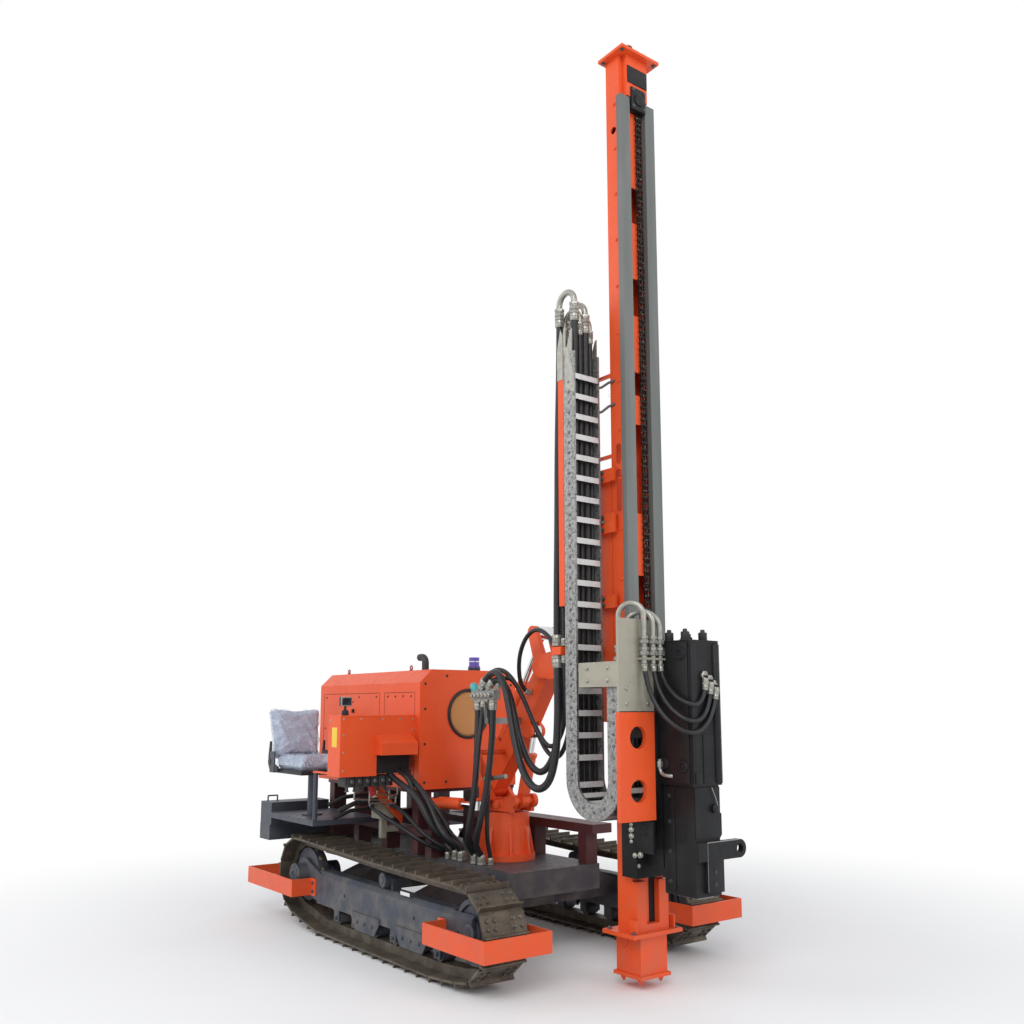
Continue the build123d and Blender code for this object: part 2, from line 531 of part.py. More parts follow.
def ram_rod(inner_end, length, half):
    """A cylinder's rod along Z, its eye centred at the given length."""
    return rod_z(inner_end, length, 0, 0, ROD_R) + rod_x(-half, half, 0, length, EYE_R)


def boom():
    """The arm from the turret's ears to the mast head, with lugs for both cylinders."""
    foot, head = (FOOT_Y, FOOT_Z), (HEAD_Y, HEAD_Z)
    size = math.dist(foot, head)
    arm = slab_x([along_line(foot, head, 0, BOOM_HEAD_HALF), along_line(foot, head, 0, -BOOM_HEAD_HALF),
                  along_line(foot, head, size, -BOOM_HEAD_HALF), along_line(foot, head, size, BOOM_HEAD_HALF),
                  along_line(foot, head, size * HALF, BOOM_FOOT_HALF)],
                 -BOOM_HALF, BOOM_HALF)
    arm += rod_x(-BOOM_HALF, BOOM_HALF, *foot, HEAD_R) + rod_x(-BOOM_HALF, BOOM_HALF, *head, HEAD_R)
    for sign in SIDES.values():
        inner, outer = sign * EAR_IN, sign * EAR_OUT
        for eye in (LIFT_EYE, TILT_FOOT):
            nearest = min(range(int(size)), key=lambda d: math.dist(along_line(foot, head, d), eye))
            root = along_line(foot, head, nearest)
            wide = EYE_R
            arm += slab_x([along_line(root, eye, 0, wide), along_line(root, eye, 0, -wide),
                           along_line(root, eye, math.dist(root, eye), -wide),
                           along_line(root, eye, math.dist(root, eye), wide)], inner, outer)
            arm += rod_x(inner, outer, *eye, EYE_R)
    for eye in (LIFT_EYE, TILT_FOOT):
        arm -= rod_x(-EAR_IN, EAR_IN, *eye, EYE_R + PLAY + PLAY)
    arm += rod_x(-EAR_OUT, EAR_OUT, *TILT_FOOT, PIN_R)
    for pin in (foot, head):
        arm -= rod_x(-BOOM_HALF - OVERRUN, BOOM_HALF + OVERRUN, *pin, PIN_R + RUN_CLEAR)
    return arm


# The mast and what holds it
FRAME_HALF, FRAME_FRONT, FRAME_REAR = 125, -1335, -1180
FRAME_LOW, FRAME_TOP = 1500, 3050
ARM_LOW, ARM_TOP, ARM_REAR = 1770, 1950, -690
STRIP_THICK = 20
CLAMP_ZS = [(2180, 2260), (2640, 2760), (2960, 3040)]
CLAMP_IN, CLAMP_OUT, CLAMP_FRONT = 146, 166, -1400
BEAM_X, MAST_REAR, MAST_FRONT = 125, -1340, -1460
MAST_LOW, MAST_TOP = 600, 5620
MAST_WALL = 10
RAIL_IN, RAIL_OUT, RAIL_FRONT = 68, 150, -1500
RAIL_LOW, RAIL_TOP = 640, 5480
WINDOWS = [(4647, 4889), (4026, 4273), (3507, 3657), (2759, 3321), (1900, 2377), (1250, 1700)]
WINDOW_HALF = 50
SIDE_HOLE_Y = -1405
# Holes through the mast's sides: middle height and half length beyond the round ends
SIDE_HOLES = [(5275, 0), (3130, 40), (2900, 110)]
SIDE_HOLE_R = 24
SLIDE_RAM_Y, SLIDE_RAM_R, SLIDE_ROD_R = -1255, 32, 18
SLIDE_RAM_LOW, SLIDE_RAM_TOP, SLIDE_LUG_Z = 2100, 2880, 3560
CHAIN_HALF, CHAIN_THICK, CHAIN_PITCH = 28, 22, 127
CHAIN_WAIST_SHARE = 0.7
HEAD_LOW, HEAD_RISE, HEAD_HALF = 5490, 160, 90
PLATE_HALF, PLATE_Y0, PLATE_Y1, PLATE_Z = 165, -1540, -1310, MAST_TOP + HEAD_RISE
CROWN_R, CROWN_RISE = 26, 105
FOOT_PLATE = (-195, 195, -1540, -1280, 300, 322)
FOOT_TUBE = (-105, 105, -1500, -1300, 85, 300)
FOOT_BASE = (-118, 118, -1515, -1285, 65, 85)
SPIKE_X, SPIKE_YS, SPIKE_R, SPIKE_LOW = 80, (-1330, -1470), 22, 30


def mast_carrier():
    """The bracket on the boom head and the slide frame that holds the mast."""
    body = block(-FORK_HALF, FORK_HALF, ARM_REAR, FRAME_REAR, ARM_LOW, ARM_TOP)
    for sign in SIDES.values():
        inner, outer = sign * (BOOM_HALF + PLAY), sign * FORK_HALF
        body += slab_x([(HEAD_Y, HEAD_Z - HEAD_R), (HEAD_Y, HEAD_Z + HEAD_R), (ARM_REAR, ARM_TOP),
                        (ARM_REAR, ARM_LOW)], inner, outer)
        body += rod_x(inner, outer, HEAD_Y, HEAD_Z, HEAD_R)
        body += slab_x([(HEAD_Y - HEAD_R, HEAD_Z), (HEAD_Y + EYE_R, HEAD_Z), (TILT_EYE[0] + EYE_R, TILT_EYE[1]),
                        (TILT_EYE[0] - EYE_R, TILT_EYE[1])], inner, outer)
        body += rod_x(inner, outer, *TILT_EYE, EYE_R)
        body += block(sign * FRAME_HALF, sign * (FRAME_HALF - STRIP_THICK), FRAME_FRONT, FRAME_REAR,
                      FRAME_LOW, FRAME_TOP)
        for z0, z1 in CLAMP_ZS:
            body += block(sign * FRAME_HALF, sign * CLAMP_OUT, FRAME_FRONT, FRAME_REAR, z0, z1)
            body += block(sign * CLAMP_IN, sign * CLAMP_OUT, CLAMP_FRONT, FRAME_REAR, z0, z1)
    body += block(-FRAME_HALF, FRAME_HALF, FRAME_REAR, FRAME_REAR - STRIP_THICK, FRAME_LOW, FRAME_TOP)
    return body + rod_x(-FORK_HALF, FORK_HALF, HEAD_Y, HEAD_Z, PIN_R)


def slide_barrel():
    """The barrel of the cylinder that lifts the mast in its frame."""
    shape = rod_z(SLIDE_RAM_LOW, SLIDE_RAM_TOP, 0, SLIDE_RAM_Y, SLIDE_RAM_R)
    shape += block(-FRAME_HALF + STRIP_THICK + FIT, FRAME_HALF - STRIP_THICK - FIT, SLIDE_RAM_Y - SLIDE_ROD_R,
                   SLIDE_RAM_Y + SLIDE_ROD_R, SLIDE_RAM_LOW, SLIDE_RAM_LOW + OVERRUN)
    return shape - rod_z(SLIDE_RAM_LOW + OVERRUN, SLIDE_RAM_TOP + OVERRUN, 0, SLIDE_RAM_Y, SLIDE_ROD_R + RUN_CLEAR)


def slide_rod():
    """The rod of the mast's cylinder and its lug on the mast's back."""
    shape = rod_z(SLIDE_RAM_LOW + OVERRUN + PLAY, SLIDE_LUG_Z, 0, SLIDE_RAM_Y, SLIDE_ROD_R)
    return shape + block(-OVERRUN, OVERRUN, SLIDE_RAM_Y + SLIDE_RAM_R, MAST_REAR + FIT, SLIDE_LUG_Z,
                         SLIDE_LUG_Z + OVERRUN)


def mast_beam():
    """The mast's box beam with windows in its front and holes in its sides."""
    body = block(-BEAM_X, BEAM_X, MAST_REAR, MAST_FRONT, MAST_LOW, MAST_TOP)
    body -= block(-BEAM_X + MAST_WALL, BEAM_X - MAST_WALL, MAST_REAR - MAST_WALL, MAST_FRONT + MAST_WALL,
                  MAST_LOW - OVERRUN, MAST_TOP + OVERRUN)
    for z0, z1 in WINDOWS:
        body -= block(-WINDOW_HALF, WINDOW_HALF, MAST_FRONT - OVERRUN, MAST_FRONT + OVERRUN, z0, z1)
    reach = BEAM_X + OVERRUN
    for z, long in SIDE_HOLES:
        for end in {z - long, z + long}:
            body -= rod_x(-reach, reach, SIDE_HOLE_Y, end, SIDE_HOLE_R)
        if long:
            body -= block(-reach, reach, SIDE_HOLE_Y - SIDE_HOLE_R, SIDE_HOLE_Y + SIDE_HOLE_R, z - long, z + long)
    return body


def mast_rail(sign):
    """One guide rail on the mast's front."""
    return block(sign * RAIL_IN, sign * RAIL_OUT, MAST_FRONT - FIT, RAIL_FRONT, RAIL_LOW, RAIL_TOP)


def feed_chain():
    """The feed chain between the rails, a row of links with a waist at each pin."""
    y = MAST_FRONT - FIT
    low, high = RAIL_LOW, HEAD_LOW - FIT
    count = round((high - low) / CHAIN_PITCH)
    pitch, edge = (high - low) / count, []
    for i in range(count):
        edge += [(CHAIN_HALF * CHAIN_WAIST_SHARE, low + pitch * i), (CHAIN_HALF, low + pitch * (i + HALF))]
    edge.append((CHAIN_HALF * CHAIN_WAIST_SHARE, high))
    return slab_y(edge + [(-x, z) for x, z in reversed(edge)], y, y - CHAIN_THICK)


def mast_head():
    """The chain wheel housing, the top plate and the crown screw."""
    body = block(-HEAD_HALF, HEAD_HALF, MAST_FRONT, RAIL_FRONT, HEAD_LOW, PLATE_Z)
    body += block(-BEAM_X, BEAM_X, MAST_REAR, MAST_FRONT, MAST_TOP + FIT, PLATE_Z)
    body += block(-PLATE_HALF, PLATE_HALF, PLATE_Y0, PLATE_Y1, PLATE_Z, PLATE_Z + STRIP_THICK)
    return body + rod_z(PLATE_Z, PLATE_Z + STRIP_THICK + CROWN_RISE, 0, (PLATE_Y0 + PLATE_Y1) * HALF, CROWN_R)


def mast_foot():
    """The foot under the mast: a channel, a flange, a square tube and four spikes."""
    body = block(-BEAM_X, BEAM_X, MAST_REAR, RAIL_FRONT, FOOT_PLATE[-1], MAST_LOW - FIT)
    body -= block(-WINDOW_HALF, WINDOW_HALF, MAST_FRONT, RAIL_FRONT - OVERRUN, FOOT_PLATE[-1] + OVERRUN,
                  MAST_LOW + OVERRUN)
    body += block(*FOOT_PLATE) + block(*FOOT_TUBE) + block(*FOOT_BASE)
    for x in (-SPIKE_X, SPIKE_X):
        for y in SPIKE_YS:
            body += Pos(x, y, (SPIKE_LOW + FOOT_BASE[-2]) * HALF) * Rot(180, 0, 0) * Cone(
                SPIKE_R, SPIKE_R * HALF * HALF, FOOT_BASE[-2] - SPIKE_LOW)
    return body


# The drag chain at the mast's right side
DRAG_X0, DRAG_X1, DRAG_PLATE = -400, -190, 14
DRAG_REAR, DRAG_FRONT, DRAG_DEEP = -1210, -1670, 100
DRAG_BEND_Z, DRAG_TOP, DRAG_END_Z = 1180, 3760, 1700
RUNG_STEP, RUNG_TALL, RUNG_DEEP = 128, 34, 24
BAR_X0, BAR_X1, BAR_Y0, BAR_Y1, BAR_LOW, BAR_TOP = -402, -388, DRAG_REAR + FIT, -1160, 2190, 3780
BAR_ARM_ZS = [3120, 3640]
BEND_RUNG_TURNS = [-60, -30, 0, 30, 60]


def drag_chain():
    """The drag chain: side plates in a long hook, joined by rungs."""
    middle = (DRAG_REAR + DRAG_FRONT) * HALF
    outer = (DRAG_REAR - DRAG_FRONT) * HALF
    inner = outer - DRAG_DEEP
    wide = DRAG_X1 - DRAG_X0
    plates = None
    for x0 in (DRAG_X0, DRAG_X1 - DRAG_PLATE):
        bend = rod_x(x0, x0 + DRAG_PLATE, middle, DRAG_BEND_Z, outer)
        bend -= rod_x(x0 - OVERRUN, x0 + DRAG_PLATE + OVERRUN, middle, DRAG_BEND_Z, inner)
        bend -= block(x0 - OVERRUN, x0 + DRAG_PLATE + OVERRUN, DRAG_REAR + OVERRUN, DRAG_FRONT - OVERRUN,
                      DRAG_BEND_Z, DRAG_TOP)
        plate = bend + block(x0, x0 + DRAG_PLATE, DRAG_REAR, DRAG_REAR - DRAG_DEEP, DRAG_BEND_Z, DRAG_TOP)
        plate += block(x0, x0 + DRAG_PLATE, DRAG_FRONT, DRAG_FRONT + DRAG_DEEP, DRAG_BEND_Z, DRAG_END_Z)
        plates = plate if plates is None else plates + plate
    rungs = int((DRAG_TOP - DRAG_BEND_Z) / RUNG_STEP)
    for i in range(rungs):
        z = DRAG_BEND_Z + RUNG_STEP * i
        plates += block(DRAG_X0, DRAG_X1, DRAG_REAR, DRAG_REAR - RUNG_DEEP, z, z + RUNG_TALL)
        if z + RUNG_TALL < DRAG_END_Z:
            plates += block(DRAG_X0, DRAG_X1, DRAG_FRONT, DRAG_FRONT + RUNG_DEEP, z, z + RUNG_TALL)
    for turn in BEND_RUNG_TURNS:
        rung = Pos(0, 0, RUNG_DEEP * HALF - outer) * Box(wide, RUNG_TALL, RUNG_DEEP)
        plates += Pos(DRAG_X0 + wide * HALF, middle, DRAG_BEND_Z) * Rot(turn, 0, 0) * rung
    return plates


def chain_bar():
    """The bar behind the drag chain's fixed run, with its arms to the mast."""
    body = block(BAR_X0, BAR_X1, BAR_Y0, BAR_Y1, BAR_LOW, BAR_TOP)
    for z in BAR_ARM_ZS:
        body += block(BAR_X0, -FRAME_HALF, BAR_Y0, BAR_Y1, z, z + STRIP_THICK)
        body += block(-FRAME_HALF, -FRAME_HALF + STRIP_THICK, MAST_REAR + FIT, BAR_Y1, z, z + STRIP_THICK)
    return body


# The carriage on the rails and what it carries
CARRIAGE_HALF, CARRIAGE_BACK, CARRIAGE_FRONT = 172, RAIL_FRONT - FIT, -1550
CARRIAGE_LOW, CARRIAGE_TOP = 630, 1900
HOOK_IN, HOOK_REAR = RAIL_OUT + FIT, -1430
LIP_IN, LIP_FRONT = 131, MAST_FRONT
HAMMER_MOUNT = (-90, 90, -1680, -1550, 700, 1850)
HOUSING = (-118, 118, -1940, -1680, 1160, 1960)
ELBOW_Y, ELBOW_R, ELBOW_TALL = -1957, 18, 36
# Elbows on the hammer's front face: x, foot height
ELBOWS = [(71, 1677), (28, 1705), (-14, 1727)]
LOWER_BODY = (-100, 100, -1930, -1700, 570, 1160)
TAB_Y0, TAB_Y1, TAB_LOW, TAB_TOP, TAB_END, TAB_HOLE_R = -1955, -1920, 760, 860, 235, 26
COVER = (-440, -CARRIAGE_HALF - FIT, -1712, -1684, 968, 1560)
COVER_HOLES = [(-300, 1420), (-300, 1130)]
COVER_HOLE_R = 62
BRACKET_BACK = (-440, -CARRIAGE_HALF - FIT, -1712, -1696, 1565, 2080)
BRACKET_ARM = (-440, -424, -1700, -1375, 1700, 1840)
# Shelves that the bent pipes pass through, behind the bracket and in front of it
PIPE_SHELVES = [(-372, -190, -1696, -1600, 1850, 1862), (-296, -128, -1765, -1712, 1850, 1862)]
PIPE_R, PIPE_BACK_Y, PIPE_FRONT_Y = 13, -1620, -1745
# Bent pipes on the moving bracket: back leg x, front leg x, top, foot of the back leg
CARRIAGE_PIPES = [(-350, -275, 2172, 1720), (-262, -205, 2130, 1720), (-306, -150, 2128, 1780)]
PIPE_FRONT_FOOT = 1830
TIE_Y0, TIE_Y1 = -1684, -1675


def carriage():
    """The slide plate with hooks round the rails."""
    body = block(-CARRIAGE_HALF, CARRIAGE_HALF, CARRIAGE_BACK, CARRIAGE_FRONT, CARRIAGE_LOW, CARRIAGE_TOP)
    for sign in SIDES.values():
        body += block(sign * HOOK_IN, sign * CARRIAGE_HALF, CARRIAGE_FRONT, HOOK_REAR, CARRIAGE_LOW, CARRIAGE_TOP)
        body += block(sign * LIP_IN, sign * CARRIAGE_HALF, LIP_FRONT, HOOK_REAR, CARRIAGE_LOW, CARRIAGE_TOP)
    return body + block(*HAMMER_MOUNT)


def hammer_housing():
    """The upper block of the hammer and the hose elbows on its front."""
    body = block(*HOUSING[:2], HOUSING[2], HOUSING[3] - FIT, HOUSING[4], HOUSING[5])
    for x, foot in ELBOWS:
        body += rod_z(foot, foot + ELBOW_TALL, x, ELBOW_Y, ELBOW_R)
        body += rod_y(HOUSING[2], ELBOW_Y, x, foot + ELBOW_TALL - ELBOW_R, ELBOW_R)
    return body


def hammer_body():
    """The lower block of the hammer and its cross plate with a lifting hole."""
    body = block(*LOWER_BODY[:4], LOWER_BODY[4], LOWER_BODY[5] - FIT)
    body += block(-LOWER_BODY[1], TAB_END, TAB_Y0, TAB_Y1, TAB_LOW, TAB_TOP)
    middle = (TAB_LOW + TAB_TOP) * HALF
    body += rod_y(TAB_Y0, TAB_Y1, TAB_END, middle, (TAB_TOP - TAB_LOW) * HALF)
    return body - rod_y(TAB_Y0 - OVERRUN, TAB_Y1 + OVERRUN, TAB_END, middle, TAB_HOLE_R)


def cover():
    """The cover beside the hammer, with two round holes and its tie to the carriage."""
    body = block(*COVER)
    for x, z in COVER_HOLES:
        body -= rod_y(COVER[2] - OVERRUN, COVER[3] + OVERRUN, x, z, COVER_HOLE_R)
    body += block(COVER[1] - DECK_THICK, COVER[1], COVER[3], CARRIAGE_BACK, COVER[4], COVER[4] + OVERRUN)
    return body + block(COVER[1] - DECK_THICK, COVER[1], COVER[3], CARRIAGE_BACK, COVER[5] - OVERRUN, COVER[5])


def chain_bracket():
    """The bracket over the drag chain's moving end."""
    body = block(*BRACKET_BACK) + block(*BRACKET_ARM)
    body += block(BRACKET_BACK[1] - DECK_THICK, BRACKET_BACK[1], BRACKET_BACK[3], CARRIAGE_BACK,
                  CARRIAGE_TOP - OVERRUN, CARRIAGE_TOP)
    for shelf in PIPE_SHELVES:
        body += block(*shelf)
    low, high = PIPE_SHELVES[0][4] - OVERRUN, PIPE_SHELVES[0][5] + OVERRUN
    for back_x, front_x, top, foot in CARRIAGE_PIPES:
        body -= rod_z(low, high, back_x, PIPE_BACK_Y, PIPE_R + FIT)
        body -= rod_z(low, high, front_x, PIPE_FRONT_Y, PIPE_R + FIT)
    return body


def box_with_handle():
    """The rear box beside the platform and its handle."""
    x0, x1, y0, y1, z0, z1 = REAR_BOX
    body = block(*REAR_BOX)
    for x in (x0 + OVERRUN, x0 + OVERRUN + HANDLE_WIDE):
        body += rod_z(z1, z1 + OVERRUN, x, y1 - OVERRUN, DECK_THICK * HALF)
    return body + rod_x(x0 + OVERRUN, x0 + OVERRUN + HANDLE_WIDE, y1 - OVERRUN, z1 + OVERRUN, DECK_THICK * HALF)


EXHAUST_X, EXHAUST_Y, EXHAUST_R, EXHAUST_TOP = -300, 520, 26, 1960
EXHAUST_REACH, EXHAUST_BEND = 80, 45
BEACON_X, BEACON_Y, BEACON_R, BEACON_BASE, BEACON_TOP = 90, 450, 40, 1900, 1965
DISPLAY = (-1010, -930, 470, 495, 1600, 1660)
DISPLAY_POST = (-975, -963, 480, 492, 1533, 1600)


def exhaust():
    """The exhaust stub with its elbow turned rearwards."""
    foot = (EXHAUST_X, EXHAUST_Y, HOOD_TOP + FIT)
    corner = (EXHAUST_X, EXHAUST_Y, EXHAUST_TOP)
    mouth = (EXHAUST_X, EXHAUST_Y + EXHAUST_REACH, EXHAUST_TOP)
    return tube((foot, corner, mouth), EXHAUST_R, EXHAUST_BEND)


def beacon():
    """The lamp on the hood, a lens on a base."""
    base = rod_z(HOOD_TOP + FIT, BEACON_BASE, BEACON_X, BEACON_Y, BEACON_R + DECK_THICK * HALF)
    return base + rod_z(BEACON_BASE, BEACON_TOP, BEACON_X, BEACON_Y, BEACON_R)


def swing_ram(shape):
    """Lay a cylinder part built along Z into the flat of the swing cylinder."""
    heading = math.degrees(math.atan2(SWING_EYE[1] - SWING_FOOT[1], SWING_EYE[0] - SWING_FOOT[0]))
    return Pos(*SWING_FOOT, SWING_RAM_Z) * Rot(0, 0, heading) * Rot(0, 90, 0) * shape


# Hoses and pipes. Each point is (x, y, z), by hand.
HOSE_R = 21
MANIFOLD = (-362, -308, -430, -170, 1640, 1700)
MANIFOLD_ARM = (-362, -BOOM_HALF - FIT, -330, -290, 1480, 1520)
MANIFOLD_POST = (-362, -346, -330, -290, 1480, 1640)
LOOP_ROUTES = [
    [(-338, -260, 1714), (-346, -330, 1800), (-360, -470, 1825), (-376, -570, 1735), (-388, -640, 1570),
     (-394, -700, 1380), (-402, -790, 1190), (-410, -930, 1085), (-410, -1060, 1130), (-408, -1125, 1290),
     (-402, -1140, 1520), (-395, -1130, 1740), (-388, -1118, 1897)],
    [(-332, -330, 1716), (-330, -375, 1765), (-326, -460, 1770), (-326, -550, 1690), (-330, -615, 1540),
     (-336, -675, 1390), (-342, -770, 1250), (-346, -890, 1180), (-348, -1000, 1240), (-346, -1070, 1390),
     (-342, -1105, 1570), (-339, -1116, 1740), (-338, -1118, 1899)],
]
CLAMP = (-412, -316, -1180, -1096, 1900, 1948)
# Hoses on the mast: riser's foot x, riser's top x, top of the bent pipe
MAST_HOSES = [(-388, -350, 4185), (-338, -262, 4120)]
RISER_Y, DROP_Y = -1118, -1262
HOSE_LOW, PIPE_BEND = 998, 70
HAMMER_ROUTES = [
    [(-275, -1745, 1828), (-275, -1750, 1765), (-262, -1785, 1640), (-243, -1850, 1540), (-205, -1915, 1475),
     (-150, -1953, 1447), (-80, -1960, 1452), (0, -1958, 1505), (52, -1957, 1590), (71, -1957, 1672)],
    [(-205, -1745, 1828), (-206, -1752, 1770), (-204, -1790, 1670), (-196, -1850, 1590), (-175, -1915, 1535),
     (-139, -1957, 1510), (-70, -1960, 1515), (-12, -1958, 1565), (18, -1957, 1636), (28, -1957, 1701)],
    [(-150, -1745, 1828), (-152, -1754, 1780), (-160, -1795, 1715), (-166, -1850, 1665), (-163, -1905, 1628),
     (-141, -1955, 1603), (-84, -1960, 1600), (-38, -1958, 1640), (-18, -1957, 1690), (-14, -1957, 1723)],
]
VALVE_ROUTES = [
    [(-640, 520, 1257), (-638, 505, 1180), (-620, 440, 1110), (-590, 350, 1060), (-560, 240, 1010),
     (-535, 130, 930), (-510, 60, 830), (-465, 20, 745), (-395, -5, 695), (-320, -10, 640), (-320, -10, 560.3)],
    [(-540, 520, 1255), (-540, 500, 1190), (-528, 420, 1130), (-510, 330, 1080), (-495, 220, 1020),
     (-480, 120, 930), (-465, 40, 820), (-440, -50, 730), (-385, -85, 680), (-320, -90, 635),
     (-320, -90, 560.3)],
    [(-335, -215, 1637), (-340, -220, 1560), (-362, -245, 1400), (-378, -262, 1230), (-392, -262, 1060),
     (-404, -240, 900), (-408, -205, 770), (-382, -172, 680), (-320, -162, 625), (-320, -162, 560.3)],
    [(-335, -385, 1639), (-337, -388, 1560), (-348, -395, 1400), (-360, -388, 1230), (-376, -372, 1060),
     (-392, -345, 900), (-400, -305, 775), (-382, -258, 685), (-320, -240, 625), (-320, -240, 560.3)],
]
BEND_SHARE = 0.45


def hose(route, radius):
    """A free hose: a tube on a hand-made route, each bend as large as its two runs allow."""
    bends = []
    for a, b, c in zip(route, route[1:], route[2:]):
        turn = (Vector(*b) - Vector(*a)).get_angle(Vector(*c) - Vector(*b))
        shorter = min(math.dist(a, b), math.dist(b, c))
        bends.append(BEND_SHARE * shorter / math.tan(math.radians(turn) * HALF))
    print("hose bends", [round(bend) for bend in bends])
    return tube(route, radius, *bends)


def manifold():
    """The block on the boom's side that joins the hoses, on its bracket."""
    return block(*MANIFOLD) + block(*MANIFOLD_POST) + block(*MANIFOLD_ARM)


def hose_clamp():
    """The arm on the slide frame that holds the hoses at the foot of their rise."""
    x0, x1, y0, y1, z0, z1 = CLAMP
    return block(*CLAMP) + block(x1, -FRAME_HALF + STRIP_THICK, y0, y0 + STRIP_THICK, z0, z1)


def mast_hoses():
    """The hoses that rise behind the bar, turn over and come down inside the drag chain."""
    for foot_x, x, top in MAST_HOSES:
        foot = CLAMP[-1] + FIT + HOSE_R * abs(foot_x - x) / (top - CLAMP[-1])
        end = CARRIAGE_PIPES[0][-1] - FIT
        route = [(foot_x, RISER_Y, foot), (x, RISER_Y, top), (x, DROP_Y, top), (x, DROP_Y, HOSE_LOW),
                 (x, PIPE_BACK_Y, HOSE_LOW), (x, PIPE_BACK_Y, end)]
        under = (DROP_Y - PIPE_BACK_Y) * HALF - FIT
        yield tube(route, HOSE_R, PIPE_BEND, PIPE_BEND, under, under)


def carriage_pipes():
    """The bent pipes on the moving bracket and the hoses from them to the hammer."""
    for x0, x1, top, foot in CARRIAGE_PIPES:
        bend = math.dist((x0, PIPE_BACK_Y), (x1, PIPE_FRONT_Y)) * HALF - FIT
        yield tube([(x0, PIPE_BACK_Y, foot), (x0, PIPE_BACK_Y, top), (x1, PIPE_FRONT_Y, top),
                    (x1, PIPE_FRONT_Y, PIPE_FRONT_FOOT)], PIPE_R, bend, bend)
    for route in HAMMER_ROUTES:
        yield hose(route, PIPE_R)


save("chassis", chassis())
save("upper_frame", upper_frame())
for name, sign in SIDES.items():
    save(f"track_{name}", track(sign))
    save(f"track_frame_{name}", track_frame(sign))
    save(f"idler_{name}", idler(sign))
    save(f"sprocket_{name}", sprocket(sign))
    save(f"rollers_{name}", *rollers(sign))
    save(f"guard_front_{name}", guard(sign, GUARD_FRONT, GUARD_FRONT_END, GUARD_FRONT_LOW))
    save(f"guard_rear_{name}", guard(sign, GUARD_REAR, GUARD_REAR_END, GUARD_REAR_LOW))
save("hood", hood())
save("hood_door", hood_door())
save("fan_guard", fan_guard())
save("engine", block(*ENGINE) + block(ENGINE[0], ENGINE[1], ENGINE[2], ENGINE[3], HOOD_LOW, ENGINE[4]))
save("control_box", control_box())
save("platform", platform())
save("seat_base", seat_base())
save("seat_cushion", seat_cushion())
save("seat_back", seat_back())
save("pedestal", pedestal())
save("turret", turret())
save("boom", boom())
save("lift_barrel", place_ram(ram_barrel(LIFT_BARREL, RAM_HALF), LIFT_FOOT, LIFT_EYE))
save("lift_rod", place_ram(ram_rod(LIFT_ROD_IN, math.dist(LIFT_FOOT, LIFT_EYE), RAM_HALF), LIFT_FOOT, LIFT_EYE))
save("tilt_barrel", place_ram(ram_barrel(TILT_BARREL, RAM_HALF), TILT_FOOT, TILT_EYE))
save("tilt_rod", place_ram(ram_rod(TILT_ROD_IN, math.dist(TILT_FOOT, TILT_EYE), TILT_HALF), TILT_FOOT, TILT_EYE))
save("swing_barrel", swing_ram(ram_barrel(SWING_BARREL, RAM_HALF)))
save("swing_rod", swing_ram(ram_rod(SWING_ROD_IN, math.dist(SWING_FOOT, SWING_EYE), RAM_HALF)))
save("mast_carrier", mast_carrier() + hose_clamp())
save("slide_barrel", slide_barrel())
save("slide_rod", slide_rod())
save("mast_beam", mast_beam())
save("mast_rails", mast_rail(-1), mast_rail(1))
save("feed_chain", feed_chain())
save("mast_head", mast_head())
save("mast_foot", mast_foot())
save("drag_chain", drag_chain())
save("chain_bar", chain_bar())
save("carriage", carriage())
save("cover", cover())
save("chain_bracket", chain_bracket())
save("hammer_housing", hammer_housing())
save("hammer_body", hammer_body())
save("rear_box", box_with_handle())
save("rear_beam", block(*REAR_BEAM))
save("valve_block", block(*VALVE_BLOCK) + block(*VALVE_POST) + block(*VALVE_ARM))
save("exhaust", exhaust())
save("beacon", beacon())
save("display", block(*DISPLAY) + block(*DISPLAY_POST))
save("manifold", manifold())
save("loop_hoses", *[hose(route, HOSE_R) for route in LOOP_ROUTES])
save("mast_hoses", *mast_hoses())
save("carriage_pipes", *carriage_pipes())
save("valve_hoses", *[hose(route, HOSE_R) for route in VALVE_ROUTES])
print(len(GROWN), "nodes")
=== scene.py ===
"""Looks of a crawler pile driving rig: finishes, hoses, fasteners and a soft seat on its solids."""

import json
import logging
import math
from dataclasses import dataclass, replace
from enum import Enum
from itertools import product
from typing import Iterable, Optional, Sequence, Union

